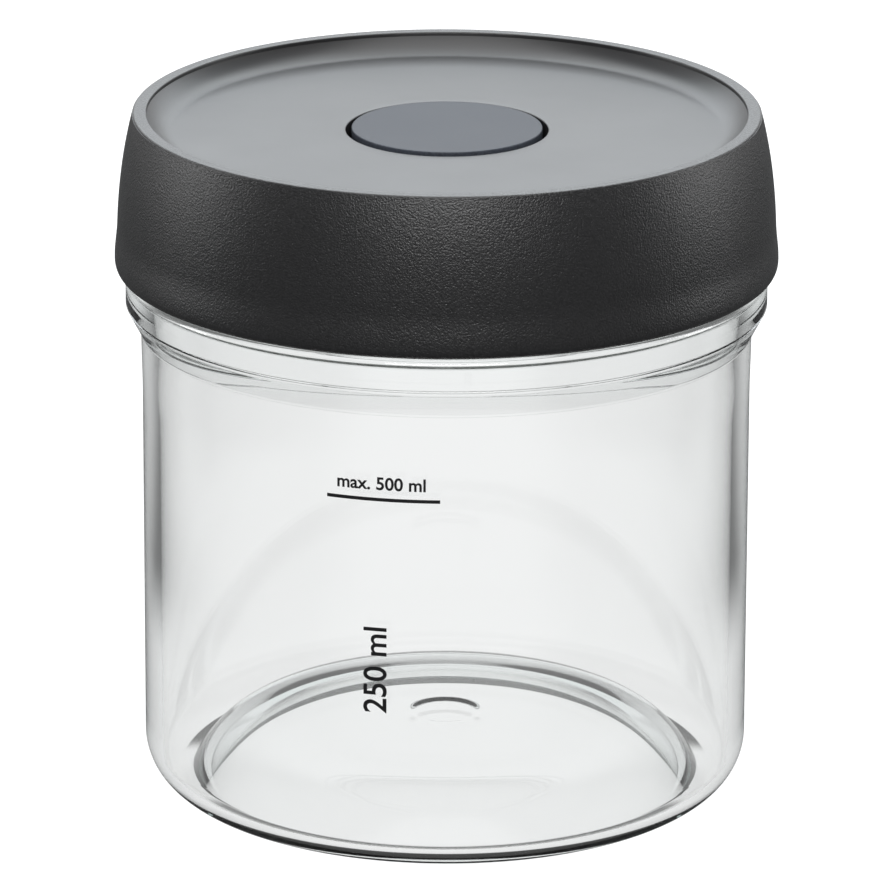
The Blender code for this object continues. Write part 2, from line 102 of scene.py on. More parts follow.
class Flow:
    """A socket in an expression. Its operators add Math nodes to its tree."""

    def __init__(self, graph: "Graph", socket: bpy.types.NodeSocket) -> None:
        """Wraps a socket of a node in a graph."""
        self.graph = graph
        self.socket = socket

    def out(self, name: str) -> "Flow":
        """Another output of the same node, by its name."""
        return Flow(self.graph, self.socket.node.outputs[name])

    def math(self, operation: str, *others: "Value") -> "Flow":
        """Adds a Math node that takes this socket first."""
        values = dict(enumerate((self, *others)))
        return self.graph.node("ShaderNodeMath", values, operation=operation)

    def before(self, operation: str, first: "Value") -> "Flow":
        """Adds a Math node that takes this socket second."""
        return self.graph.node("ShaderNodeMath", {0: first, 1: self}, operation=operation)

    def __add__(self, other: "Value") -> "Flow":
        """Sum of the two."""
        return self.math("ADD", other)

    def __radd__(self, other: "Value") -> "Flow":
        """Sum of the two."""
        return self.before("ADD", other)

    def __sub__(self, other: "Value") -> "Flow":
        """Difference of the two."""
        return self.math("SUBTRACT", other)

    def __rsub__(self, other: "Value") -> "Flow":
        """Difference of the two, reflected."""
        return self.before("SUBTRACT", other)

    def __mul__(self, other: "Value") -> "Flow":
        """Product of the two."""
        return self.math("MULTIPLY", other)

    def __rmul__(self, other: "Value") -> "Flow":
        """Product of the two."""
        return self.before("MULTIPLY", other)

    def __truediv__(self, other: "Value") -> "Flow":
        """Quotient of the two."""
        return self.math("DIVIDE", other)

    def __rtruediv__(self, other: "Value") -> "Flow":
        """Quotient of the two, reflected."""
        return self.before("DIVIDE", other)

    def clamped(self) -> "Flow":
        """The value held between 0 and 1."""
        return self.math("MAXIMUM", 0.0).math("MINIMUM", 1.0)

    def eased(self) -> "Flow":
        """The value held between 0 and 1, with soft ends."""
        held = self.clamped()
        return held * held * (3.0 - 2.0 * held)

    def across(self) -> "Flow":
        """The length of the vector that this X belongs to, seen along Z."""
        return (self * self + self.out("Y") * self.out("Y")).math("SQRT")


Value = Union[Flow, float, int, bool, tuple, str]


class Graph:
    """A node tree being wired. One method makes every node."""

    def __init__(self, tree: bpy.types.NodeTree) -> None:
        """Starts on a tree that exists."""
        self.tree = tree

    def node(
        self, kind: str, sockets: Optional[dict] = None, output: Union[int, str] = 0, **settings: object
    ) -> Flow:
        """Makes a node, applies its settings, then fills its sockets.

        Args:
            kind: The node's type.
            sockets: Values or links by the socket's name or number.
            output: The output that the returned flow stands for.
            settings: The node's own settings by name.

        Returns:
            The chosen output, or the first input of a node that has no output.
        """
        made = self.tree.nodes.new(kind)
        for name, value in settings.items():
            setattr(made, name, value)
        for name, value in (sockets or {}).items():
            if isinstance(value, Flow):
                self.tree.links.new(value.socket, made.inputs[name])
            else:
                made.inputs[name].default_value = value
        return Flow(self, made.outputs[output] if made.outputs else made.inputs[0])

    def split(self, vector: Flow) -> Flow:
        """A vector's X. Its Y and Z are other outputs of the same node."""
        return self.node("ShaderNodeSeparateXYZ", {0: vector})

    def join(self, x: Value = 0.0, y: Value = 0.0, z: Value = 0.0) -> Flow:
        """A vector made of its three parts."""
        return self.node("ShaderNodeCombineXYZ", {"X": x, "Y": y, "Z": z})


class Geometry(Graph):
    """A geometry node tree with named inputs, of which the last is a material."""

    def __init__(self, name: str, counts: tuple[str, ...], sizes: tuple[str, ...]) -> None:
        """Makes the tree, its inputs and its output.

        Args:
            name: The tree's name.
            counts: The names of its whole numbers.
            sizes: The names of its lengths, angles and shares.
        """
        super().__init__(bpy.data.node_groups.new(name, "GeometryNodeTree"))
        kinds = {"Geometry": "Geometry", **dict.fromkeys(counts, "Int"), **dict.fromkeys(sizes, "Float")}
        face = self.tree.interface
        for label, kind in {**kinds, "Material": "Material"}.items():
            face.new_socket(label, in_out="INPUT", socket_type="NodeSocket" + kind)
        face.new_socket("Geometry", in_out="OUTPUT", socket_type="NodeSocketGeometry")
        self.given = self.node("NodeGroupInput", output="Geometry")

    def __getitem__(self, name: str) -> Flow:
        """A named input of the tree."""
        return self.given.out(name)

    def end(self, geometry: Flow) -> "Geometry":
        """Realizes what the tree made, gives it its material and sends it out."""
        real = self.node("GeometryNodeRealizeInstances", {"Geometry": geometry})
        dressed = {"Geometry": real, "Material": self["Material"]}
        self.node("NodeGroupOutput", {0: self.node("GeometryNodeSetMaterial", dressed)})
        return self

    def run(self, name: str, start: bpy.types.Mesh, values: dict[str, object]) -> Object:
        """Runs the tree on a mesh and keeps the result as a plain mesh.

        Args:
            name: The new object's name.
            start: The mesh that the tree takes in.
            values: Each named input's value.

        Returns:
            An object at the origin with the finished mesh and no modifier.
        """
        piece = bpy.data.objects.new(name, start)
        bpy.context.scene.collection.objects.link(piece)
        modifier = piece.modifiers.new(self.tree.name, "NODES")
        modifier.node_group = self.tree
        for item in self.tree.interface.items_tree:
            if item.in_out == "INPUT" and item.name in values:
                modifier[item.identifier] = values[item.name]
        graph = bpy.context.evaluated_depsgraph_get()
        mesh = bpy.data.meshes.new_from_object(piece.evaluated_get(graph))
        mesh.name = name
        piece.modifiers.clear()
        piece.data = mesh
        bpy.data.meshes.remove(start)
        mesh.materials.clear()
        mesh.materials.append(values["Material"])
        mesh.polygons.foreach_set("material_index", [0] * len(mesh.polygons))
        return piece


@dataclass
class Outline:
    """The outline that a piece is turned from: its points, and how far the thread acts at each."""

    points: list[Point] = field(default_factory=list)
    threaded: list[float] = field(default_factory=list)

    def to(self, radius: float, height: float, threaded: float = 0.0) -> "Outline":
        """Adds one point."""
        self.points.append((radius, height))
        self.threaded.append(threaded)
        return self

    def run(
        self, radius: float, height: float, spacing: float = ROW, threaded: float = 0.0
    ) -> "Outline":
        """Adds a straight run to a point, in rows of an even spacing.

        Args:
            radius: How far from the axis it ends.
            height: The height at which it ends.
            spacing: About how far apart its rows are.
            threaded: How far the thread acts on its rows, from 0 to 1.

        Returns:
            The outline.
        """
        start = self.points[-1]
        steps = max(1, round(math.dist(start, (radius, height)) / spacing))
        for step in range(1, steps + 1):
            share = step / steps
            across = start[0] + (radius - start[0]) * share
            self.to(across, start[1] + (height - start[1]) * share, threaded)
        return self

    def arc(
        self,
        centre: Point,
        radius: float,
        start: float,
        end: float,
        steps: int = ROUND_STEPS,
        rise: Optional[float] = None,
    ) -> "Outline":
        """Adds an arc with both its ends.

        Args:
            centre: Its centre.
            radius: Its radius.
            start: The angle at which it starts, in degrees.
            end: The angle at which it ends, in degrees.
            steps: How many steps it has.
            rise: Its radius upwards, where that differs.

        Returns:
            The outline.
        """
        for step in range(steps + 1):
            angle = math.radians(start + (end - start) * step / steps)
            up = math.sin(angle) * (radius if rise is None else rise)
            self.to(centre[0] + radius * math.cos(angle), centre[1] + up)
        return self

    def curve(self, place: Callable[[float], Point], steps: int) -> "Outline":
        """Adds the points that a function gives for shares from 0 to 1."""
        for step in range(steps + 1):
            self.to(*place(step / steps))
        return self

    def closed(self) -> "Outline":
        """Ends the outline where it starts."""
        return self.to(*self.points[0], self.threaded[0])

    def mesh(self) -> bpy.types.Mesh:
        """The outline as a row of edges in the XZ plane, without points that fall together."""
        kept = [0]
        for i in range(1, len(self.points)):
            if math.dist(self.points[i], self.points[kept[-1]]) > WELD:
                kept.append(i)
        mesh = bpy.data.meshes.new("outline")
        places = [(self.points[i][0], 0.0, self.points[i][1]) for i in kept]
        mesh.from_pydata(places, [(i, i + 1) for i in range(len(kept) - 1)], [])
        shares = mesh.attributes.new("threaded", "FLOAT", "POINT")
        shares.data.foreach_set("value", [self.threaded[i] for i in kept])
        return mesh


@dataclass(frozen=True)
class Thread:
    """The screw thread between the jar and the lid."""

    starts: int = 3
    lead: float = 15 * MM
    height: float = 1.5 * MM
    width: float = 2.4 * MM
    crest_share: float = 0.5
    arc: float = math.radians(104)
    taper: float = math.radians(11)
    foot: float = 5.5 * MM
    clearance: float = 0.4 * MM

    @property
    def climb(self) -> float:
        """How far each ridge climbs over its arc."""
        return self.lead * self.arc / math.tau

    def inputs(self, side: Side, width: float, foot: float, start: float) -> dict[str, float]:
        """The named inputs of the turning tree for this thread on one wall."""
        return {
            "Starts": self.starts,
            "Lead": self.lead,
            "Height": side.value * self.height,
            "Width": width,
            "Crest": self.crest_share,
            "Arc": self.arc,
            "Taper": self.taper,
            "Foot": foot,
            "Start": start,
        }


THREAD = Thread()


def turning_tree() -> Geometry:
    """The tree that turns an outline about Z and raises a screw thread on its marked rows."""
    sizes = ("Lead", "Height", "Width", "Crest", "Arc", "Taper", "Foot", "Start")
    tree = Geometry("turned_about_z", ("Steps", "Starts"), sizes)
    outline = tree["Geometry"]
    count = tree.node("GeometryNodeAttributeDomainSize", {0: outline}, "Point Count", component="MESH")
    grid = {"Size X": 1.0, "Size Y": 1.0, "Vertices X": tree["Steps"] + 1, "Vertices Y": count}
    sheet = tree.node("GeometryNodeMeshGrid", grid)
    position = tree.node("GeometryNodeInputPosition")
    place = tree.split(position)
    level = (place.out("Y") + 0.5) * (count - 1)
    row = tree.node("FunctionNodeFloatToInt", {0: level}, rounding_mode="ROUND")

    def sampled(kind: str, value: Flow) -> Flow:
        """A value at the outline's point for this row."""
        sockets = {"Geometry": outline, "Value": value, "Index": row}
        return tree.node("GeometryNodeSampleIndex", sockets, data_type=kind, domain="POINT")

    mark = tree.node("GeometryNodeInputNamedAttribute", {"Name": "threaded"}, data_type="FLOAT")
    at = tree.split(sampled("FLOAT_VECTOR", position))
    height = at.out("Z")
    turn = (place + 0.5) * math.tau
    along = (turn - tree["Start"]).math("FLOORED_MODULO", math.tau / tree["Starts"])
    middle = tree["Foot"] + tree["Lead"] * along / math.tau
    half = tree["Width"] / 2
    off = (height - middle).math("ABSOLUTE")
    flank = ((half - off) / (half * (1.0 - tree["Crest"]))).eased()
    ends = (along / tree["Taper"]).eased() * ((tree["Arc"] - along) / tree["Taper"]).eased()
    radius = at + tree["Height"] * flank * ends * sampled("FLOAT", mark)
    moved = tree.join(radius * turn.math("COSINE"), radius * turn.math("SINE"), height)
    turned = tree.node("GeometryNodeSetPosition", {"Geometry": sheet, "Position": moved})
    return tree.end(tree.node("GeometryNodeMergeByDistance", {"Geometry": turned, "Distance": WELD}))


def coil_tree() -> Geometry:
    """The tree that winds a round wire into a coil with flattened ends."""
    sizes = ("Coil Radius", "Wire Radius", "Turns", "Low", "High", "End Share")
    tree = Geometry("coil_spring", ("Steps",), sizes)
    line = tree.node("GeometryNodeCurvePrimitiveLine", {"Start": (0, 0, 0), "End": (0, 0, 1)})
    steps = tree["Turns"] * tree["Steps"]
    line = tree.node("GeometryNodeResampleCurve", {"Curve": line, "Count": steps + 1})
    share = tree.node("GeometryNodeSplineParameter", output="Factor")
    angle = share * tree["Turns"] * math.tau
    low, high, end, radius = (tree[name] for name in ("Low", "High", "End Share", "Coil Radius"))
    rise = ((share - end / 2.0) / (1.0 - end)).clamped()
    flat = tree["Wire Radius"] * CLOSED_PITCH
    ease = (share / end).math("MINIMUM", 1.0) - ((1.0 - share) / end).math("MINIMUM", 1.0)
    climb = low + flat / 2.0 + (high - low - flat) * rise + flat * ease / 2.0
    place = tree.join(radius * angle.math("COSINE"), radius * angle.math("SINE"), climb)
    path = tree.node("GeometryNodeSetPosition", {"Geometry": line, "Position": place})
    circle = {"Resolution": WIRE_STEPS, "Radius": tree["Wire Radius"]}
    wire = tree.node("GeometryNodeCurvePrimitiveCircle", circle, mode="RADIUS")
    sweep = {"Curve": path, "Profile Curve": wire, "Fill Caps": True}
    return tree.end(tree.node("GeometryNodeCurveToMesh", sweep))


def holes_tree() -> Geometry:
    """The tree that cuts a ring of equal holes into a piece. With 4 corners they are square."""
    sizes = ("Start", "Ring Radius", "Deep", "Wide", "High", "Height")
    tree = Geometry("ring_of_holes", ("Count", "Corners"), sizes)
    circle = {"Vertices": tree["Count"], "Radius": tree["Ring Radius"]}
    ring = tree.node("GeometryNodeMeshCircle", circle)
    prism = {"Vertices": tree["Corners"], "Radius": math.sqrt(0.5), "Depth": 1.0}
    shape = tree.node("GeometryNodeMeshCylinder", prism)
    square_up = tree.join(z=math.pi / tree["Corners"])
    shape = tree.node("GeometryNodeTransform", {"Geometry": shape, "Rotation": square_up})
    size = tree.join(tree["Deep"], tree["Wide"], tree["High"])
    shape = tree.node("GeometryNodeTransform", {"Geometry": shape, "Scale": size})
    turn = tree.join(z=tree.node("GeometryNodeInputIndex") * math.tau / tree["Count"])
    copies = {"Points": ring, "Instance": shape, "Rotation": turn}
    cutters = tree.node("GeometryNodeInstanceOnPoints", copies)
    lift, start = tree.join(z=tree["Height"]), tree.join(z=tree["Start"])
    placed = {"Geometry": cutters, "Translation": lift, "Rotation": start}
    cutters = tree.node("GeometryNodeTransform", placed)
    cutters = tree.node("GeometryNodeRealizeInstances", {"Geometry": cutters})
    pair = {"Mesh 1": tree["Geometry"], "Mesh 2": cutters}
    cut = tree.node("GeometryNodeMeshBoolean", pair, "Mesh", operation="DIFFERENCE", solver="EXACT")
    return tree.end(cut)


def wrapping_tree() -> Geometry:
    """The tree that wraps a flat print round an upright cylinder.

    X runs round the wall from the front, Y runs up it and Z stands out from it.
    """
    tree = Geometry("wrapped_print", (), ("Radius", "Angle", "Height"))
    place = tree.split(tree.node("GeometryNodeInputPosition"))
    angle = place / tree["Radius"] + tree["Angle"]
    radius = tree["Radius"] + place.out("Z")
    side, back = radius * angle.math("SINE"), radius * angle.math("COSINE") * -1.0
    wrapped = tree.join(side, back, place.out("Y") + tree["Height"])
    moved = {"Geometry": tree["Geometry"], "Position": wrapped}
    return tree.end(tree.node("GeometryNodeSetPosition", moved))


@dataclass
class Workshop:
    """The geometry node trees that make the pieces, and what finishes each piece."""

    turning: Geometry = field(default_factory=turning_tree)
    coil: Geometry = field(default_factory=coil_tree)
    holes: Geometry = field(default_factory=holes_tree)
    wrapping: Geometry = field(default_factory=wrapping_tree)

    def turn(
        self,
        name: str,
        outline: Outline,
        material: Material,
        steps: int = SMALL_STEPS,
        thread: Optional[dict[str, float]] = None,
    ) -> Object:
        """Turns an outline into a piece.

        Args:
            name: The piece's name.
            outline: What is turned.
            material: The piece's finish.
            steps: How many steps make a full turn.
            thread: The named inputs of the thread on its marked rows, if it has one.

        Returns:
            The piece, smooth but for its edges.
        """
        thread = thread or THREAD.inputs(Side.OUTWARD, THREAD.width, 0.0, 0.0)
        values = {**thread, "Steps": steps, "Material": material}
        return self.smooth(self.turning.run(name, outline.mesh(), values))

    def cut(self, piece: Object, values: dict[str, float]) -> Object:
        """Cuts a ring of holes into a piece, and gives the piece that is left."""
        name, mesh = piece.name, piece.data
        bpy.data.objects.remove(piece)
        values = {**values, "Material": mesh.materials[0]}
        return self.smooth(self.holes.run(name, mesh, values))

    @staticmethod
    def smooth(piece: Object) -> Object:
        """Turns the faces outwards and smooths them but for sharp edges."""
        shape = bmesh.new()
        shape.from_mesh(piece.data)
        bmesh.ops.remove_doubles(shape, verts=shape.verts, dist=WELD)
        bmesh.ops.recalc_face_normals(shape, faces=shape.faces)
        shape.to_mesh(piece.data)
        shape.free()
        piece.data.shade_smooth()
        piece.data.set_sharp_from_angle(angle=SMOOTH_ANGLE)
        return piece

    @staticmethod
    def hand_over(piece: Object, grip: Grip, slot: str, node: str = "") -> Object:
        """Lets a piece ride on its body and stand for the node it replaces.

        Args:
            piece: The finished piece.
            grip: The body that it rides on.
            slot: Not used.
            node: The node that it replaces, if it replaces one.

        Returns:
            The piece.
        """
        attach(piece, grip.value)
        if node:
            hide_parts(node)
        triangles = sum(len(face.vertices) - 2 for face in piece.data.polygons)
        log.info("%s rides on %s, %d triangles", piece.name, grip.value, triangles)
        return piece


def opaque(colour: Colour, share: float = 1.0) -> tuple[float, ...]:
    """A share of a colour, as a colour socket takes it."""
    return (*(channel * share for channel in colour), 1.0)


class Shading(Graph):
    """A new material's node tree, with what its shaders are made from."""

    def __init__(self, name: str) -> None:
        """Makes the material and its Object coordinates."""
        self.material = bpy.data.materials.new(name)
        self.material.use_nodes = True
        self.material.node_tree.nodes.clear()
        super().__init__(self.material.node_tree)
        self.place = self.node("ShaderNodeTexCoord", output="Object")

    def noise(self, scale: float, detail: float, roughness: float = 0.5) -> Flow:
        """Noise on the Object coordinates, at a scale in bumps a metre."""
        sockets = {"Vector": self.place, "Scale": scale, "Detail": detail, "Roughness": roughness}
        return self.node("ShaderNodeTexNoise", sockets)

    def bump(self, strength: float, depth: float, height: Flow) -> Flow:
        """A normal that a height bends."""
        sockets = {"Strength": strength, "Distance": depth, "Height": height}
        return self.node("ShaderNodeBump", sockets)

    def mix(self, share: Flow, first: tuple[float, ...], second: tuple[float, ...]) -> Flow:
        """A mix of two colours, which the node takes at 6 and 7 and gives at 2."""
        return self.node("ShaderNodeMix", {0: share, 6: first, 7: second}, 2, data_type="RGBA")

    def grey(self, level: Flow) -> Flow:
        """A grey whose level varies."""
        return self.node("ShaderNodeCombineColor", {"Red": level, "Green": level, "Blue": level})

    def end(self, shader: Flow, depth: Optional[Flow] = None) -> Material:
        """Sends out a shader, and what fills the inside if anything does."""
        inside = {} if depth is None else {"Volume": depth}
        self.node("ShaderNodeOutputMaterial", {"Surface": shader, **inside})
        return self.material


@dataclass(frozen=True)
class Finish:
    """A finish of one shader. Each kind of finish says what its shader's sockets hold."""

    name: str

    def sockets(self, graph: Shading) -> dict[str, Value]:
        """What the shader's sockets hold."""
        raise NotImplementedError

    def make(self) -> Material:
        """Makes the material."""
        graph = Shading(self.name)
        return graph.end(graph.node("ShaderNodeBsdfPrincipled", self.sockets(graph)))


@dataclass(frozen=True)
class MouldedPlastic(Finish):
    """Plastic with the fine grain of a mould that was blasted or etched.

    The grain is faint within the calm radius, where the mould was polished.
    """

    colour: Colour
    roughness: float = 0.36
    rough_grain: float = 0.2
    rough_drift: float = 0.06
    grain: float = 0.34 * MM
    depth: float = 0.1 * MM
    tone: float = 0.6
    tone_reach: float = 0.45
    drift: float = 0.12
    drift_scale: float = 60.0
    specular: float = 0.5
    calm_radius: float = 0.0
    calm_share: float = 0.04

    def sockets(self, graph: Shading) -> dict[str, Value]:
        """Grain in the bump, the colour and the roughness, over a slow drift of tone."""
        outside = ((graph.split(graph.place).across() - self.calm_radius) / self.grain).eased()
        strong = self.calm_share + outside * (1.0 - self.calm_share)
        grain = (graph.noise(1 / self.grain, 1.0, 0.6) - 0.5) * strong
        drift = graph.noise(self.drift_scale, 3.0) - 0.5
        share = grain * (2.0 * self.tone) + drift * self.drift + 0.5
        dark = opaque(self.colour, 1.0 - self.tone_reach)
        light = opaque(self.colour, 1.0 + self.tone_reach)
        return {
            "Base Color": graph.mix(share.clamped(), dark, light),
            "Roughness": self.roughness + grain * self.rough_grain + drift * self.rough_drift,
            "Specular IOR Level": self.specular,
            "Normal": graph.bump(1.0, self.depth, grain),
        }


@dataclass(frozen=True)
class ClearGlass(Finish):
    """Pressed clear glass that lets lamps through, with the faint waves of a pressed wall."""

    ior: float = 1.5
    wave: float = 9 * MM
    wave_depth: float = 0.004 * MM
    wave_strength: float = 0.5
    lamp_tint: Colour = (0.93, 0.94, 0.94)
    absorbs: float = 10.0
    keeps: Colour = (0.5, 0.7, 0.67)

    def sockets(self, graph: Shading) -> dict[str, Value]:
        """Clear glass on a faintly waved surface."""
        waves = graph.noise(1 / self.wave, 1.0)
        return {
            "Base Color": opaque(WHITE),
            "Roughness": 0.0,
            "IOR": self.ior,
            "Transmission Weight": 1.0,
            "Normal": graph.bump(self.wave_strength, self.wave_depth, waves),
        }

    def make(self) -> Material:
        """Makes the material: the glass, what it does to lamps and the tint of its depth."""
        graph = Shading(self.name)
        glass = graph.node("ShaderNodeBsdfPrincipled", self.sockets(graph))
        clear = graph.node("ShaderNodeBsdfTransparent", {"Color": opaque(self.lamp_tint)})
        lamp = graph.node("ShaderNodeLightPath", output="Is Shadow Ray")
        shader = graph.node("ShaderNodeMixShader", {0: lamp, 1: glass, 2: clear})
        tint = {"Color": opaque(self.keeps), "Density": self.absorbs}
        return graph.end(shader, graph.node("ShaderNodeVolumeAbsorption", tint))


@dataclass(frozen=True)
class SoftRubber(Finish):
    """Pale silicone with a soft matt skin."""

    colour: Colour = (0.75, 0.76, 0.74)
    roughness: float = 0.5
    rough_mottle: float = 0.2
    mottle_scale: float = 260.0
    dark_share: float = 0.9

    def sockets(self, graph: Shading) -> dict[str, Value]:
        """A slow mottle in the colour and the shine."""
        mottle = graph.noise(self.mottle_scale, 3.0)
        dark = opaque(self.colour, self.dark_share)
        return {
            "Base Color": graph.mix(mottle, dark, opaque(self.colour)),
            "Roughness": self.roughness + (mottle - 0.5) * self.rough_mottle,
        }


@dataclass(frozen=True)
class SteelWire(Finish):
    """Drawn stainless wire."""

    colour: Colour = (0.6, 0.6, 0.6)
    roughness: float = 0.18
    rough_marks: float = 0.16
    mark_scale: float = 2400.0

    def sockets(self, graph: Shading) -> dict[str, Value]:
        """Bright steel with fine draw marks."""
        rough = self.roughness + graph.noise(self.mark_scale, 2.0) * self.rough_marks
        return {"Base Color": opaque(self.colour), "Metallic": 1.0, "Roughness": rough}


@dataclass(frozen=True)
class PrintInk(Finish):
    """Black ink fired on the glass."""

    colour: Colour = (0.006, 0.006, 0.007)
    roughness: float = 0.35
    rough_speckle: float = 0.15
    speckle_scale: float = 5000.0

    def sockets(self, graph: Shading) -> dict[str, Value]:
        """Dense ink with a fine speckle in its shine."""
        rough = self.roughness + graph.noise(self.speckle_scale, 1.0) * self.rough_speckle
        return {"Base Color": opaque(self.colour), "Roughness": rough}


@dataclass
class Extent:
    """How far a node of the frame reaches: its largest radius and its lowest and highest point."""

    radius: float
    low: float
    high: float

    @classmethod
    def of(cls, node: str) -> "Extent":
        """Reads the extent of a node."""
        low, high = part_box(node)
        return cls(high.x, low.z, high.z)


@dataclass(frozen=True)
class VentFit:
    """The sizes at which the lid, the liner, the button and the valve meet."""

    stem: float = 7.6 * MM
    stem_wall: float = 1 * MM
    stem_lip: float = 0.6 * MM
    slide_gap: float = 0.5 * MM
    seat_gap: float = 0.3 * MM
    button_gap: float = 1 * MM
    guide_wall: float = 1.5 * MM

    @property
    def guide(self) -> float:
        """Radius inside the guide that the button slides in."""
        return Extent.of("valve_button").radius + self.button_gap


VENT = VentFit()


@dataclass
class Turned:
    """A piece turned from its outline, to the place and overall size of its node."""

    NAME: ClassVar[str] = ""
    NODE: ClassVar[str] = ""
    SLOT: ClassVar[str] = ""
    GRIP: ClassVar[Grip] = Grip.LID
    STEPS: ClassVar[int] = FINE_STEPS

    @cached_property
    def extent(self) -> Extent:
        """How far the piece's node reaches."""
        return Extent.of(self.NODE)

    def outline(self) -> Outline:
        """The outline that the piece is turned from."""
        raise NotImplementedError

    def thread(self) -> Optional[dict[str, float]]:
        """The named inputs of the piece's thread, if it has one."""
        return None

    def shape(self, shop: Workshop, material: Material) -> Object:
        """Turns the piece."""
        return shop.turn(self.NAME, self.outline(), material, self.STEPS, self.thread())

    def build(self, shop: Workshop, material: Material) -> Object:
        """Makes the piece and hands it over."""
        return shop.hand_over(self.shape(shop, material), self.GRIP, self.SLOT, self.NODE)


@dataclass
class GlassJar(Turned):
    """The clear jar: pushed-up base, rounded heel, collar, ledge and threaded neck."""

    NAME = "clear_jar"
    NODE = "glass_jar"
    SLOT = "clear_glass"
    GRIP = Grip.JAR

    collar_proud: float = 2.9 * MM
    wall: float = 3 * MM
    base: float = 3 * MM
    heel: float = 9.5 * MM
    heel_inside: float = 5.5 * MM
    foot_ring: float = 3.2 * MM
    punt_rise: float = 8.4 * MM
    floor_rise: float = 9.4 * MM
    dome_power: float = 8.0
    dimple: float = 6.8 * MM
    dimple_edge: float = 1.6 * MM
    dimple_depth: float = 0.25 * MM
    neck_step: float = 4.83 * MM
    neck_wall: float = 3.3 * MM
    neck_height: float = 18.1 * MM
    neck_fillet: float = 1.2 * MM
    rim_round: float = 1.1 * MM
    collar_face: float = 5.7 * MM
    collar_taper: float = 5.1 * MM
    collar_crease: float = 0.5 * MM
    seam_depth: float = 0.28 * MM
    seam_width: float = 0.45 * MM
    collar_edge: float = 1 * MM
    swell: float = 0.2 * MM
    swell_height: float = 12 * MM
    shoulder_drop: float = 3.2 * MM
    shoulder_rise: float = 1 * MM
    wall_row: float = 4.8 * MM
    neck_row: float = 1.2 * MM
    thread_row: float = 0.18 * MM
    floor_steps: int = 104
    punt_steps: int = 48
    swell_steps: int = 10

    @property
    def radius(self) -> float:
        """Outer radius of the straight wall."""
        return self.extent.radius - self.collar_proud

    @property
    def foot(self) -> float:
        """Outer radius of the foot ring."""
        return self.radius - self.heel

    @property
    def neck(self) -> float:
        """Outer radius of the neck."""
        return self.radius - self.neck_step

    @property
    def mouth(self) -> float:
        """Radius of the mouth."""
        return self.neck - self.neck_wall

    @property
    def ledge(self) -> float:
        """Height of the ledge above the collar."""
        return self.extent.high - self.neck_height

    @property
    def swell_top(self) -> float:
        """Height where the collar meets the swell."""
        return self.ledge - self.collar_face - self.collar_taper

    def dome(self, rise: float, share: float) -> float:
        """Height of a flat-topped dome at a share of its radius."""
        return rise * (1 - share**self.dome_power)

    def floor(self, share: float) -> Point:
        """A point of the inner floor, from its middle out to the heel."""
        radius = (self.radius - self.wall - self.heel_inside) * share
        edge = (radius - self.dimple + self.dimple_edge) / self.dimple_edge
        step = min(max(edge, 0), 1)
        drop = self.dimple_depth * (1 - step * step * (3 - 2 * step))
        return radius, self.base + self.dome(self.floor_rise, share) - drop

    def punt(self, share: float) -> Point:
        """A point of the pushed-up underside, from the foot ring in to its middle."""
        return (self.foot - self.foot_ring) * (1 - share), self.dome(self.punt_rise, 1 - share)

    def shoulder(self, share: float) -> Point:
        """A point of the inner shoulder, from the wall up to the mouth."""
        inner = self.radius - self.wall
        ease = share * share * (3 - 2 * share)
        climb = self.shoulder_drop + self.shoulder_rise
        height = self.ledge - self.shoulder_drop + climb * share
        return inner + (self.mouth - inner) * ease, height

    def seam(self, share: float) -> Point:
        """A point of the mould's fine seam line, at the bottom of the collar's upright face."""
        height = self.ledge - self.collar_face + self.seam_width * (1 - share)
        return self.extent.radius - self.seam_depth * math.sin(math.pi * share), height

    def taper(self, share: float) -> Point:
        """A point of the collar's underside, from its upright face in to the swell."""
        width = self.collar_proud - self.swell
        crease = self.collar_crease / self.collar_taper
        late = crease * (1 - min(share / crease, 1.0)) ** 2 / 2
        early = crease * (1 - min((1 - share) / crease, 1.0)) ** 2 / 2
        height = self.ledge - self.collar_face - self.collar_taper * share
        return self.extent.radius - width * (share + late - early), height

    def swelling(self, share: float) -> Point:
        """A point of the slight swell that leads from the collar down to the straight wall."""
        out = self.swell * (math.cos(share * math.pi) + 1) / 2
        return self.radius + out, self.swell_top - self.swell_height * share

    def outline(self) -> Outline:
        """The jar's outline, up its inner side and down its outer one."""
        inner = self.radius - self.wall
        bend, fillet, edge, lip = self.heel_inside, self.neck_fillet, self.collar_edge, self.rim_round
        thread_low = self.ledge + THREAD.foot - THREAD.width
        thread_high = thread_low + THREAD.climb + 2 * THREAD.width
        top = self.extent.high - lip
        line = Outline().curve(self.floor, self.floor_steps)
        line.arc((inner - bend, self.base + bend), bend, 270, 360, ARC_STEPS)
        line.run(inner, self.ledge - self.shoulder_drop, self.wall_row)
        line.curve(self.shoulder, ARC_STEPS).run(self.mouth, top, self.neck_row)
        line.arc((self.mouth + lip, top), lip, 180, 90)
        line.arc((self.neck - lip, top), lip, 90, 0)
        line.run(self.neck, thread_high, self.neck_row)
        line.run(self.neck, thread_low, self.thread_row, 1.0)
        line.arc((self.neck + fillet, self.ledge + fillet), fillet, 180, 270)
        line.arc((self.extent.radius - edge, self.ledge - edge), edge, 90, 0)
        line.curve(self.seam, SMALL_CURVE_STEPS).curve(self.taper, 2 * ARC_STEPS)
        line.curve(self.swelling, self.swell_steps)
        line.run(self.radius, self.heel, self.wall_row)
        line.arc((self.foot, self.heel), self.heel, 0, -90, 2 * ARC_STEPS)
        line.run(self.foot - self.foot_ring, self.extent.low, self.neck_row)
        return line.curve(self.punt, self.punt_steps)

    def thread(self) -> dict[str, float]:
        """The thread on the neck."""
        return THREAD.inputs(Side.OUTWARD, THREAD.width, self.ledge + THREAD.foot, 0.0)


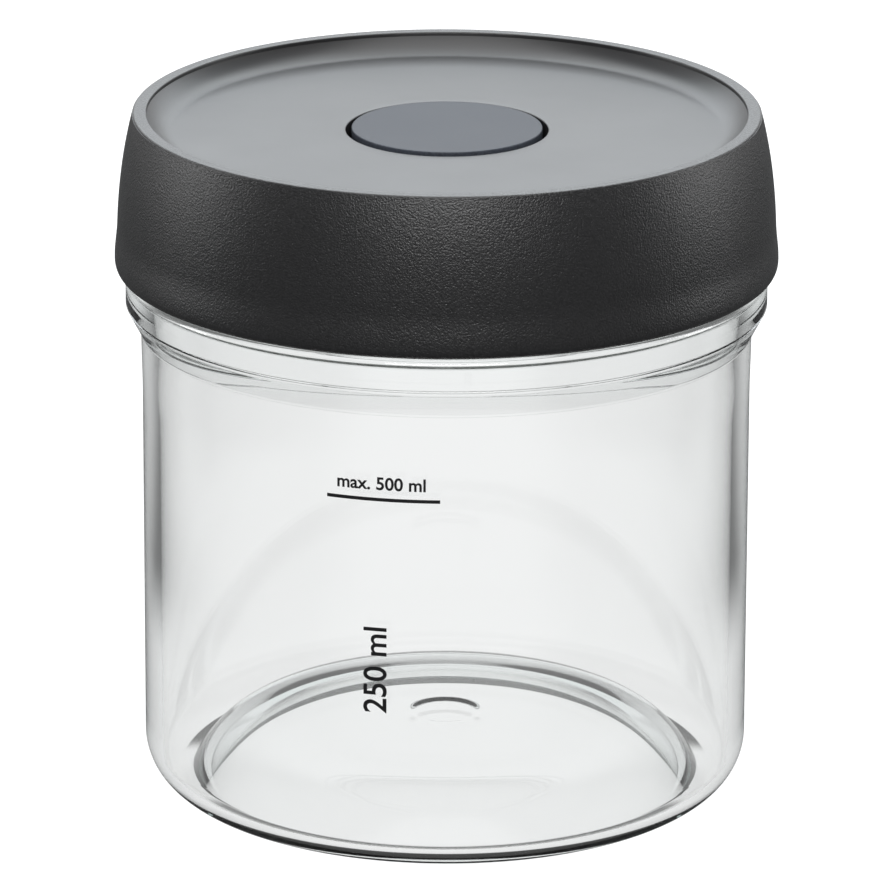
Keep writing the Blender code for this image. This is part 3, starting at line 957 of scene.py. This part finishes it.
@dataclass
class LidCover(Turned):
    """The lid's outer shell: barrel skirt, flat rim, dished top and the button's guide."""

    NAME = "lid_cover"
    NODE = "lid_shell"
    SLOT = "lid_plastic"

    wall: float = 2 * MM
    flare: float = 3 * MM
    kick: float = 0.4 * MM
    kick_height: float = 6 * MM
    dish_depth: float = 3.5 * MM
    dish_thickness: float = 2.2 * MM
    dish_fillet: float = 4.7 * MM
    dish_step: float = 0.7 * MM
    rim: float = 2.4 * MM
    rim_edge: float = 0.4 * MM
    rim_inner_edge: float = 0.25 * MM
    rim_hollow: float = 2.8 * MM
    rim_slope: float = 2 * MM
    corner_height: float = 2 * MM
    corner_width: float = 2.2 * MM
    corner_power: float = 0.7
    barrel_power: float = 2.35
    lip: float = 1 * MM
    lip_height: float = 0.9 * MM
    snap_slope: float = 0.3 * MM
    guide_depth: float = 8 * MM
    guide_chamfer: float = 0.3 * MM
    skirt_steps: int = 36
    inside_steps: int = 20

    @property
    def dish_floor(self) -> float:
        """Height of the dish's flat floor."""
        return self.extent.high - self.dish_depth

    @property
    def dish_radius(self) -> float:
        """Radius of the dish, up to the inner edge of the rim."""
        return self.extent.radius - self.flare - self.kick - self.rim

    @property
    def widest(self) -> float:
        """Height at which the skirt is widest."""
        return self.extent.low + self.corner_height

    def dish_side(self, share: float) -> Point:
        """A point of the dish's rising side, from its flat floor out to the step under the rim."""
        rise = self.dish_depth - self.dish_step
        out = self.dish_radius - self.dish_fillet * (1 - share)
        return out, self.dish_floor + rise * share * share

    def barrel(self, height: float) -> float:
        """Outer radius of the skirt at a height, kicked out to its widest at the bottom."""
        share = max(0.0, (height - self.widest) / (self.extent.high - self.widest))
        along = min(max(0.0, height - self.widest) / self.kick_height, 1.0)
        kick = self.kick * along * along * (3 - 2 * along)
        return self.extent.radius - kick - self.flare * share**self.barrel_power

    def skirt(self, start: float, end: float, inset: float = 0.0) -> Callable[[float], Point]:
        """The way along the skirt from one height to another, at an inset."""

        def place(share: float) -> Point:
            """A point of the way."""
            height = start + (end - start) * share
            return self.barrel(height) - inset, height

        return place

    def corner(self, share: float) -> Point:
        """A point of the skirt's lower corner, from its widest place in to the lip."""
        angle = math.pi / 2 * share
        across = max(math.cos(angle), 0) ** self.corner_power
        down = math.sin(angle) ** self.corner_power
        inner = self.extent.radius - self.corner_width
        return inner + self.corner_width * across, self.widest - self.corner_height * down

    def outline(self) -> Outline:
        """The shell's outline, from the guide over the dish and down the skirt, and back inside."""
        guide, floor, top, low = VENT.guide, self.dish_floor, self.extent.high, self.extent.low
        chamfer, edge, turn = self.guide_chamfer, self.rim_edge, self.rim_inner_edge
        line = Outline().to(guide, floor - self.guide_depth).run(guide, floor - chamfer)
        line.arc((guide + chamfer, floor - chamfer), chamfer, 180, 90)
        line.run(self.dish_radius - self.dish_fillet - SHORT_ROW, floor)
        line.curve(self.dish_side, FACE_STEPS)
        line.arc((self.dish_radius + turn, top - turn), turn, 180, 90)
        top_radius = self.dish_radius + self.rim
        line.run(top_radius - 1.5 * edge, top, SHORT_ROW)
        line.arc((top_radius - edge, top - edge), edge, 90, 0)
        line.curve(self.skirt(top - edge, self.widest), self.skirt_steps)
        line.curve(self.corner, ARC_STEPS)
        lip = self.extent.radius - self.corner_width - self.lip
        line.to(lip, low).to(lip, low + self.lip_height)
        line.to(self.extent.radius - self.wall, low + self.lip_height + self.snap_slope)
        under = floor - self.dish_thickness
        hollow = under + self.rim_hollow
        line.curve(self.skirt(self.widest, hollow, self.wall), self.inside_steps)
        inside = self.barrel(under) - self.wall - self.rim
        line.to(inside, hollow).to(inside - self.rim_slope, under)
        line.run(guide + VENT.guide_wall, under, 1.5 * ROW)
        return line.to(guide + VENT.guide_wall, floor - self.guide_depth).closed()


@dataclass
class LidInside(Turned):
    """The threaded liner inside the lid, with the well that holds the valve."""

    NAME = "lid_inside"
    NODE = "lid_liner"
    SLOT = "liner_plastic"

    jar: GlassJar
    wall: float = 2 * MM
    flange: float = 1.5 * MM
    top_round: float = 1.2 * MM
    top_row: float = 0.3 * MM
    ring_lip: float = 1.4 * MM
    ring_lip_height: float = 2.3 * MM
    well_wall: float = 1.8 * MM
    well_depth: float = 10.5 * MM
    thread_row: float = 0.16 * MM

    @property
    def inner(self) -> float:
        """Radius inside the wall that carries the thread."""
        return self.jar.neck + THREAD.height + THREAD.clearance

    @property
    def under(self) -> float:
        """Height of the liner's underside, which presses on the sealing ring."""
        return self.extent.high - self.wall

    @property
    def well_floor(self) -> float:
        """Height of the floor of the well."""
        return self.extent.high - self.well_depth

    @property
    def ridge_width(self) -> float:
        """Width of the liner's thread, which fills what the jar's leaves."""
        return THREAD.lead / THREAD.starts - THREAD.width - 2 * VENT.seat_gap

    def outline(self) -> Outline:
        """The liner's outline, from its bore up the well, over the top and back inside."""
        low, high, radius = self.extent.low, self.extent.high, self.extent.radius
        bore = VENT.stem + VENT.slide_gap
        well = VENT.guide + VENT.guide_wall + VENT.seat_gap
        well_under = self.well_floor - self.wall
        outer = self.inner + self.wall
        lip_outer = self.jar.mouth - 2 * VENT.seat_gap
        lip_inner = lip_outer - self.ring_lip
        lip_low = self.under - self.ring_lip_height
        turn = self.top_round
        line = Outline().to(bore, well_under).run(bore, self.well_floor)
        line.run(well, self.well_floor).run(well, high).run(outer - turn - self.top_row, high)
        line.arc((outer - turn, high - turn), turn, 90, 0)
        line.run(outer, low + self.flange).run(radius, low + self.flange)
        line.to(radius, low).to(self.inner, low)
        thread_high = low + self.ridge_width * 1.5 + THREAD.climb + VENT.seat_gap
        line.run(self.inner, thread_high, self.thread_row, 1.0).run(self.inner, self.under)
        line.run(lip_outer, self.under).to(lip_outer, lip_low).to(lip_inner, lip_low)
        line.to(lip_inner, self.under).run(well + self.well_wall, self.under)
        return line.run(well + self.well_wall, well_under).closed()

    def thread(self) -> dict[str, float]:
        """The thread inside the wall, set between the ridges of the jar's."""
        foot = self.extent.low + self.ridge_width / 2 + VENT.seat_gap
        climbed = foot - (self.jar.ledge + THREAD.foot - THREAD.lead / THREAD.starts / 2)
        start = math.tau * climbed / THREAD.lead
        return THREAD.inputs(Side.INWARD, self.ridge_width, foot, start)


@dataclass
class SealRing(Turned):
    """The flat silicone ring, with a shallow groove where the rim of the glass bears."""

    NAME = "seal_ring"
    NODE = "lid_gasket"
    SLOT = "seal_silicone"
    GRIP = Grip.SEAL

    jar: GlassJar
    gap: float = 0.3 * MM
    corner: float = 0.5 * MM
    bead: float = 0.25 * MM

    @property
    def inner(self) -> float:
        """Inner radius of the ring."""
        return self.jar.mouth - self.gap

    def underside(self, share: float) -> Point:
        """A point of the ring's grooved underside, from its outer corner in."""
        width = self.extent.radius - self.inner - 2 * self.corner
        rise = self.bead * math.sin(math.pi * share) ** 2
        return self.extent.radius - self.corner - width * share, self.extent.low + rise

    def outline(self) -> Outline:
        """The ring's section."""
        turn = self.corner
        inner, outer = self.inner + turn, self.extent.radius - turn
        low, high = self.extent.low + turn, self.extent.high - turn
        line = Outline().arc((inner, high), turn, 180, 90).arc((outer, high), turn, 90, 0)
        line.arc((outer, low), turn, 0, -90).curve(self.underside, ARC_STEPS)
        return line.arc((inner, low), turn, 270, 180).closed()


@dataclass
class VentButton(Turned):
    """The vent button: disc, skirt and hollow stem with its windows."""

    NAME = "vent_button"
    NODE = "valve_button"
    SLOT = "button_plastic"
    GRIP = Grip.BUTTON
    STEPS = SMALL_STEPS

    thickness: float = 2 * MM
    skirt: float = 1.4 * MM
    skirt_depth: float = 7 * MM
    edge: float = 0.25 * MM
    crown: float = 0.12 * MM
    lip_height: float = 0.9 * MM
    row: float = 1.5 * MM
    windows: int = 3
    window_width: float = 4.5 * MM
    window_height: float = 3.2 * MM
    window_low: float = 2.3 * MM

    def face(self, share: float) -> Point:
        """A point of the disc's face, which sinks a little to its middle."""
        sunk = self.crown * (1 - share * share)
        return (self.extent.radius - self.edge) * share, self.extent.high - sunk

    def outline(self) -> Outline:
        """The button's outline, from its middle out and down, then back up the stem."""
        top, low, radius = self.extent.high, self.extent.low, self.extent.radius
        under, skirt_low = top - self.thickness, top - self.skirt_depth
        hollow = VENT.stem - VENT.stem_wall
        lip = hollow - VENT.stem_lip
        line = Outline().curve(self.face, FACE_STEPS)
        line.arc((radius - self.edge, top - self.edge), self.edge, 90, 0)
        line.run(radius, skirt_low, self.row).to(radius - self.skirt, skirt_low)
        line.run(radius - self.skirt, under, self.row).run(VENT.stem, under, self.row)
        line.run(VENT.stem, low, self.row).to(lip, low).to(lip, low + self.lip_height)
        line.to(hollow, low + self.lip_height).run(hollow, under, self.row)
        return line.run(0.0, under, self.row)

    def shape(self, shop: Workshop, material: Material) -> Object:
        """Turns the button and cuts the windows in its stem."""
        windows = {
            "Count": self.windows,
            "Corners": 4,
            "Ring Radius": VENT.stem - VENT.stem_wall / 2,
            "Deep": 3 * VENT.stem_wall,
            "Wide": self.window_width,
            "High": self.window_height,
            "Height": self.extent.low + self.window_low + self.window_height / 2,
            "Start": 0.0,
        }
        return shop.cut(super().shape(shop, material), windows)


@dataclass
class ButtonSpring(Turned):
    """The coil spring that lifts the button. It is wound, not turned."""

    NAME = "vent_spring"
    NODE = "button_spring"
    SLOT = "spring_steel"

    wire: float = 0.45 * MM
    turns: float = 5.0
    turn_steps: int = 40
    end_share: float = 0.16
    press: float = 2 * MM

    def shape(self, shop: Workshop, material: Material) -> Object:
        """Winds the spring."""
        values = {
            "Coil Radius": self.extent.radius - self.wire,
            "Wire Radius": self.wire,
            "Turns": self.turns,
            "Low": self.extent.low + self.wire,
            "High": self.extent.high - self.wire,
            "End Share": self.end_share,
            "Steps": self.turn_steps,
            "Material": material,
        }
        return shop.smooth(shop.coil.run(self.NAME, bpy.data.meshes.new("coil_start"), values))

    def build(self, shop: Workshop, material: Material) -> Object:
        """Makes the spring and gives it a mesh of its own."""
        piece = super().build(shop, material)
        low = self.extent.low
        keep = 1 - self.press / (self.extent.high - low)
        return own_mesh(piece)


@dataclass
class VentValve:
    """The valve under the liner: its disc, its ring and the flap that lets gas out."""

    thickness: float = 2.8 * MM
    hub_wall: float = 1 * MM
    barb: float = 0.6 * MM
    barb_height: float = 0.8 * MM
    ring: float = 0.7 * MM
    squeeze: float = 0.2 * MM
    head_height: float = 1.2 * MM
    head_edge: float = 0.3 * MM
    flap_stem: float = 1 * MM
    flap_row: float = 0.8 * MM
    bulb: float = 1.8 * MM
    bulb_height: float = 2.2 * MM
    bulb_swell: float = 0.12
    tip: float = 0.9 * MM
    vents: int = 4
    vent: float = 0.6 * MM
    vent_corners: int = 20
    ring_steps: int = 24
    disc_edge: float = 0.4 * MM
    disc_row: float = 1 * MM

    @cached_property
    def extent(self) -> Extent:
        """How far the disc's node reaches."""
        return Extent.of("valve_carrier")

    @property
    def top(self) -> float:
        """Height of the disc's upper plane, where it would meet the liner."""
        return self.extent.low + self.thickness

    @property
    def hub(self) -> Point:
        """Outer and inner radius of the hub inside the stem."""
        outer = VENT.stem - VENT.stem_wall - VENT.stem_lip - VENT.seat_gap
        return outer, outer - self.hub_wall

    @property
    def groove(self) -> Point:
        """Inner and outer radius of the ring's groove."""
        inner = VENT.stem + 2 * VENT.slide_gap
        return inner, inner + 2 * (self.ring + VENT.seat_gap)

    def disc_outline(self) -> Outline:
        """The disc's outline, from the flap's hole up the hub and out over the groove."""
        row, edge = self.disc_row, self.disc_edge
        hole = self.flap_stem + VENT.seat_gap
        outer, inner = self.hub
        groove_inner, groove_outer = self.groove
        face = self.top - self.squeeze
        groove_floor = self.top - 2 * self.ring - VENT.seat_gap + self.squeeze
        high, low, radius = self.extent.high, self.extent.low, self.extent.radius
        barb_low = high - self.barb_height
        line = Outline().to(hole, low).run(hole, self.top, row).run(inner, self.top, row)
        line.run(inner, high, row).to(outer, high).to(outer + self.barb, barb_low)
        line.to(outer, barb_low).run(outer, face, row).run(groove_inner, face, row)
        line.to(groove_inner, groove_floor).to(groove_outer, groove_floor)
        line.to(groove_outer, face).to(radius, face).run(radius, low + edge, row)
        line.arc((radius - edge, low + edge), edge, 0, -90)
        return line.run(hole + self.vent, low, row).closed()

    def bulb_side(self, share: float) -> Point:
        """A point of the bulb's rounded side, from its shoulder to its tip."""
        swell = math.sin(math.pi * share) * self.bulb_swell * self.bulb
        height = self.extent.low - VENT.seat_gap - self.bulb_height * share
        return self.bulb + (self.tip - self.bulb) * share + swell, height

    def flap_outline(self) -> Outline:
        """The flap's outline, from the middle of its head down to its tip."""
        head = self.hub[1] - VENT.slide_gap
        head_low = self.top + VENT.seat_gap
        crown = self.head_height - self.head_edge
        bulb_top = self.extent.low - VENT.seat_gap
        line = Outline().arc((0, head_low + self.head_edge), head, 90, 0, ARC_STEPS, crown)
        line.to(head, head_low).run(self.flap_stem, head_low, SHORT_ROW)
        line.run(self.flap_stem, bulb_top, self.flap_row).to(self.bulb, bulb_top)
        line.curve(self.bulb_side, SMALL_CURVE_STEPS)
        return line.to(0, bulb_top - self.bulb_height)

    def ring_outline(self) -> Outline:
        """The sealing ring's round section."""
        middle = (sum(self.groove) / 2, self.top - self.ring)
        return Outline().arc(middle, self.ring, 180, -180, self.ring_steps)

    def build(self, shop: Workshop, plastic: Material, rubber: Material) -> None:
        """Turns the disc, the ring and the flap, and drills the disc's vent holes."""
        holes = {
            "Count": self.vents,
            "Corners": self.vent_corners,
            "Ring Radius": (self.flap_stem + VENT.seat_gap + self.hub[1]) / 2,
            "Deep": self.vent * math.sqrt(2),
            "Wide": self.vent * math.sqrt(2),
            "High": 2 * self.thickness,
            "Height": self.extent.low + self.thickness / 2,
            "Start": math.pi / self.vents,
        }
        disc = shop.cut(shop.turn("valve_disc", self.disc_outline(), plastic), holes)
        ring = shop.turn("valve_ring", self.ring_outline(), rubber)
        flap = shop.turn("valve_flap", self.flap_outline(), rubber)
        shop.hand_over(disc, Grip.BUTTON, "valve_plastic", "valve_carrier")
        shop.hand_over(ring, Grip.BUTTON, "seal_silicone", "valve_oring")
        shop.hand_over(flap, Grip.BUTTON, "seal_silicone", "valve_umbrella")


@dataclass
class FillMarks:
    """The measures printed on the front of the glass: a fill line and plain numbers."""

    jar: GlassJar
    lift: float = 0.03 * MM
    thickness: float = 0.04 * MM
    line_height: float = 69.5 * MM
    line_width: float = 0.62 * MM
    line_start: float = math.radians(-22.2)
    line_end: float = math.radians(-1.0)
    line_steps: int = 64
    number_size: float = 3.2 * MM
    number_low: float = 71.3 * MM
    number_angle: float = math.radians(-11.9)
    half_size: float = 5.8 * MM
    half_middle: float = 38.4 * MM
    half_angle: float = math.radians(-10.9)
    weight: float = 0.07 * MM

    def bar(self, length: float) -> bpy.types.Mesh:
        """A flat bar along X, in short stretches so that it can bend round the glass."""
        shape = bmesh.new()
        side = self.line_width / 2
        places = [length * (i / self.line_steps - 0.5) for i in range(self.line_steps + 1)]
        corners = [(y, z) for z in (self.lift, self.lift + self.thickness) for y in (-side, side)]
        rows = [[shape.verts.new((x, y, z)) for x in places] for y, z in corners]
        low, low_far, high, high_far = rows
        ring = [low, low_far, high_far, high]
        for a, b in zip(ring, ring[1:] + ring[:1]):
            for i in range(self.line_steps):
                shape.faces.new((a[i], a[i + 1], b[i + 1], b[i]))
        for end in (0, -1):
            shape.faces.new([row[end] for row in ring])
        bmesh.ops.recalc_face_normals(shape, faces=shape.faces)
        mesh = bpy.data.meshes.new("bar")
        shape.to_mesh(mesh)
        shape.free()
        return mesh

    def letters(self, words: str, size: float, turn: float = 0.0) -> bpy.types.Mesh:
        """Plain numbers as a thin flat mesh, centred on X and standing on Y = 0.

        Args:
            words: What is printed.
            size: The size of the type.
            turn: How far the print is turned to the left about its middle.

        Returns:
            The mesh.
        """
        text = bpy.data.curves.new("numbers", "FONT")
        text.body = words
        text.size = size
        text.extrude = self.thickness / 2
        text.offset = self.weight
        text.align_x = "CENTER"
        text.resolution_u = 6
        holder = bpy.data.objects.new("numbers", text)
        bpy.context.scene.collection.objects.link(holder)
        bpy.context.view_layer.update()
        graph = bpy.context.evaluated_depsgraph_get()
        mesh = bpy.data.meshes.new_from_object(holder.evaluated_get(graph))
        bpy.data.objects.remove(holder)
        lifted = Matrix.Translation((0, 0, self.lift + self.thickness / 2))
        mesh.transform(Matrix.Rotation(turn, 4, "Z") @ lifted)
        return mesh

    def build(self, shop: Workshop, material: Material) -> None:
        """Prints the fill line and the measures."""
        radius = self.jar.radius
        length = (self.line_end - self.line_start) * radius
        middle = (self.line_start + self.line_end) / 2
        numbers = self.letters("max. 500 ml", self.number_size)
        upright = self.letters("250 ml", self.half_size, math.pi / 2)
        prints = {
            "fill_line": (self.bar(length), middle, self.line_height),
            "fill_numbers": (numbers, self.number_angle, self.number_low),
            "half_numbers": (upright, self.half_angle, self.half_middle),
        }
        for name, (mesh, angle, height) in prints.items():
            values = {"Radius": radius, "Angle": angle, "Height": height, "Material": material}
            shop.hand_over(shop.wrapping.run(name, mesh, values), Grip.JAR, "clear_glass")


@dataclass(frozen=True)
class SoftBox:
    """A soft box that faces the jar, and that the camera itself doesn't see.

    Its radiance is how bright it looks, where 1 is white.
    """

    name: str
    place: Point3
    size: Point
    radiance: float
    colour: Colour = WHITE

    def hang(self, aim: Vector) -> Object:
        """Hangs the box, turned to what it lights."""
        data = bpy.data.lights.new(self.name, "AREA")
        data.shape = "RECTANGLE"
        data.size, data.size_y = self.size
        data.energy = self.radiance * math.pi * self.size[0] * self.size[1]
        data.color = self.colour
        lamp = bpy.data.objects.new(self.name, data)
        bpy.context.scene.collection.objects.link(lamp)
        lamp.location = self.place
        lamp.rotation_mode = "QUATERNION"
        lamp.rotation_quaternion = (aim - Vector(self.place)).to_track_quat("-Z", "Y")
        lamp.visible_camera = False
        lamp.visible_transmission = False
        return lamp


SOFT_BOXES = (
    SoftBox("back_box", (0.03, 0.55, 0.42), (0.9, 0.3), 2.4, (0.88, 0.95, 1.0)),
    SoftBox("top_box", (0.0, 0.62, 1.05), (1.1, 0.8), 3.5, (0.94, 0.98, 1.0)),
    SoftBox("overhead_box", (0.0, -0.12, 1.3), (1.0, 0.9), 3.0),
    SoftBox("left_strip", (-1.1, 0.15, 0.45), (0.3, 0.9), 5.0),
    SoftBox("right_strip", (1.1, 0.15, 0.45), (0.3, 0.9), 5.0),
    SoftBox("fore_box", (0.0, -1.0, 0.68), (0.8, 0.45), 9.0),
)


@dataclass
class Studio:
    """The camera, the floor and the plain soft light.

    Tones and glows are the brightness of the floor and the room, where 1 is white. The floor
    and the room have dark flags at both sides, which show only through the glass.
    """

    jar: GlassJar
    aim: Vector = field(default_factory=lambda: Vector((0.0001, 0.0, 0.06201)))
    distance: float = 1.3952
    nearest: float = 0.05
    pitch: float = math.radians(17.96)
    roll: float = math.radians(0.2)
    lens: float = 314.4
    sensor: float = 36.0
    floor_size: float = 3.0
    floor_drop: float = 0.02 * MM
    floor_tone: float = 0.2
    mirrored_tone: float = 0.07
    glassed_tone: float = 0.06
    floor_glow: float = 0.84
    glassed_glow: float = 0.94
    clear_start: float = 0.2
    clear_fade: float = 0.3
    shade_reach: float = 2.7 * MM
    shade_half: float = 2 * MM
    shade_fade: float = 0.6 * MM
    shade_back: float = 1.2 * MM
    shade_depth: float = 0.92
    open_back: float = 6 * MM
    open_front: float = 18 * MM
    open_fade: float = 7 * MM
    flag_level: float = 0.22
    flag_turn: Point = (0.64, 0.28)
    flag_start: float = 0.1
    flag_fade: float = 0.06
    room_level: float = 0.16
    room_glassed: float = 0.87
    room_low: Point = (0.38, 0.22)
    room_back: Point = (-0.25, 0.7)

    def camera(self) -> Object:
        """Sets the camera at the photograph's angle."""
        data = bpy.data.cameras.new("camera")
        data.lens = self.lens
        data.sensor_width = self.sensor
        data.clip_start = self.nearest
        camera = bpy.data.objects.new("camera", data)
        bpy.context.scene.collection.objects.link(camera)
        back = Vector((0.0, -math.cos(self.pitch), math.sin(self.pitch)))
        camera.location = self.aim + back * self.distance
        camera.rotation_mode = "QUATERNION"
        level = (-back).to_track_quat("-Z", "Y")
        camera.rotation_quaternion = level @ Quaternion((0, 0, 1), self.roll)
        bpy.context.scene.camera = camera
        return camera

    def flags(self, way: Flow, across: Flow) -> Flow:
        """How much light the flags take away at a place or in a direction.

        Args:
            way: The place or the direction, with X as the socket and Y as its other output.
            across: Its length, seen along Z.

        Returns:
            The share of light that is taken: none ahead and behind, most of it at the sides.
        """
        start, width = self.flag_turn
        ahead = (((way.out("Y") / across).math("ABSOLUTE") - start) / width).eased()
        return (1.0 - ahead) * (1.0 - self.flag_level)

    def contact_shade(self, at: Flow) -> Flow:
        """How dark the shadow painted on the floor under the heel looks through the glass, from 0 to 1.

        The shade lies a little behind the jar, and light comes in under the heel at both sides.

        Args:
            at: The place on the floor, with X as the socket and Y as its other output.

        Returns:
            The depth of the shade.
        """
        back = at.out("Y") - self.shade_back
        across = (at * at + back * back).math("SQRT")
        apart = (across - (self.jar.foot + self.shade_reach)).math("ABSOLUTE")
        ring = 1.0 - ((apart - (self.shade_half - self.shade_fade)) / self.shade_fade).eased()
        behind = ((at.out("Y") - self.open_back) / self.open_fade).eased()
        before = ((0.0 - at.out("Y") - self.open_front) / self.open_fade).eased()
        return ring * (behind + before) * self.shade_depth

    def floor(self) -> Object:
        """Lays the pale floor. It shows white where light falls and keeps the jar's shadow."""
        graph = Shading("pale_floor")
        path = graph.node("ShaderNodeLightPath", output="Is Camera Ray")
        glassed = path.out("Is Transmission Ray")
        mirrored = (self.floor_tone - self.mirrored_tone) * path.out("Is Glossy Ray")
        tone = self.floor_tone - mirrored - (self.floor_tone - self.glassed_tone) * glassed
        at = graph.split(graph.place)
        across = at.across()
        # painted shadow: a dark ring under the heel takes light from the floor's tone and glow where the
        # glass looks onto it
        unshaded = 1.0 - glassed * self.contact_shade(at)
        matt = graph.node("ShaderNodeBsdfDiffuse", {"Color": graph.grey(tone * unshaded)})
        beside = ((across - self.flag_start) / self.flag_fade).eased()
        through = self.glassed_glow * (1.0 - beside * self.flags(at, across))
        distant = ((across - self.clear_start) / self.clear_fade).eased()
        direct = self.floor_glow + (1.0 - self.floor_glow) * distant
        level = graph.grey((path * direct + glassed * through) * unshaded)
        glow = graph.node("ShaderNodeEmission", {"Color": level, "Strength": 1.0})
        lit = graph.node("ShaderNodeAddShader", {0: matt, 1: glow})
        clear = graph.node("ShaderNodeBsdfTransparent")
        under = graph.node("ShaderNodeNewGeometry", output="Backfacing")
        material = graph.end(graph.node("ShaderNodeMixShader", {0: under, 1: lit, 2: clear}))
        mesh = bpy.data.meshes.new("floor")
        half = self.floor_size / 2
        corners = [(-half, -half), (half, -half), (half, half), (-half, half)]
        mesh.from_pydata([(x, y, -self.floor_drop) for x, y in corners], [], [(0, 1, 2, 3)])
        mesh.materials.append(material)
        floor = bpy.data.objects.new("floor", mesh)
        bpy.context.scene.collection.objects.link(floor)
        return floor

    def world(self) -> bpy.types.World:
        """Sets the room: white to the camera, soft grey to everything that it lights."""
        world = bpy.data.worlds.new("studio")
        world.use_nodes = True
        world.node_tree.nodes.clear()
        graph = Graph(world.node_tree)
        way = graph.split(graph.node("ShaderNodeTexCoord", output="Generated"))
        low = 1.0 - ((way.out("Z") - self.room_low[0]) / self.room_low[1]).eased()
        back = ((way.out("Y") - self.room_back[0]) / self.room_back[1]).eased()
        flags = self.flags(way, way.across().math("MAXIMUM", 0.01))
        path = graph.node("ShaderNodeLightPath", output="Is Camera Ray")
        through = self.room_glassed * (1.0 - flags)
        lit = self.room_level + low * back * (1.0 - self.room_level)
        level = lit + (through - lit) * path.out("Is Transmission Ray")
        level = level + (1.0 - level) * path
        shown = graph.node("ShaderNodeBackground", {"Color": opaque(WHITE), "Strength": level})
        graph.node("ShaderNodeOutputWorld", {"Surface": shown})
        bpy.context.scene.world = world
        return world

    def build(self) -> None:
        """Sets up the camera, the light and the floor."""
        bpy.context.scene.view_settings.view_transform = "Standard"
        self.camera()
        self.world()
        self.floor()
        for box in SOFT_BOXES:
            box.hang(self.aim)


def main() -> None:
    """Builds the studio, and then every piece in order, from the glass up."""
    logging.basicConfig(level=logging.INFO, format="%(message)s")
    jar = GlassJar()
    Studio(jar).build()
    shop = Workshop()
    glass = ClearGlass("glass_finish").make()
    cover = LidCover()
    dark = (0.015, 0.015, 0.0158)
    lid_plastic = MouldedPlastic("lid_finish", dark, calm_radius=cover.dish_radius).make()
    slate = (0.04, 0.045, 0.056)
    button_plastic = MouldedPlastic("button_finish", slate, depth=0.008 * MM, specular=0.07).make()
    liner_plastic = MouldedPlastic("liner_finish", (0.74, 0.75, 0.73), depth=0.01 * MM).make()
    valve_plastic = MouldedPlastic("valve_finish", (0.6, 0.61, 0.6), depth=0.01 * MM).make()
    silicone = SoftRubber("silicone_finish").make()
    steel = SteelWire("steel_finish").make()
    ink = PrintInk("ink_finish").make()

    jar.build(shop, glass)
    FillMarks(jar).build(shop, ink)
    SealRing(jar).build(shop, silicone)
    cover.build(shop, lid_plastic)
    LidInside(jar).build(shop, liner_plastic)
    VentButton().build(shop, button_plastic)
    ButtonSpring().build(shop, steel)
    VentValve().build(shop, valve_plastic, silicone)


if __name__ == "__main__":
    main()
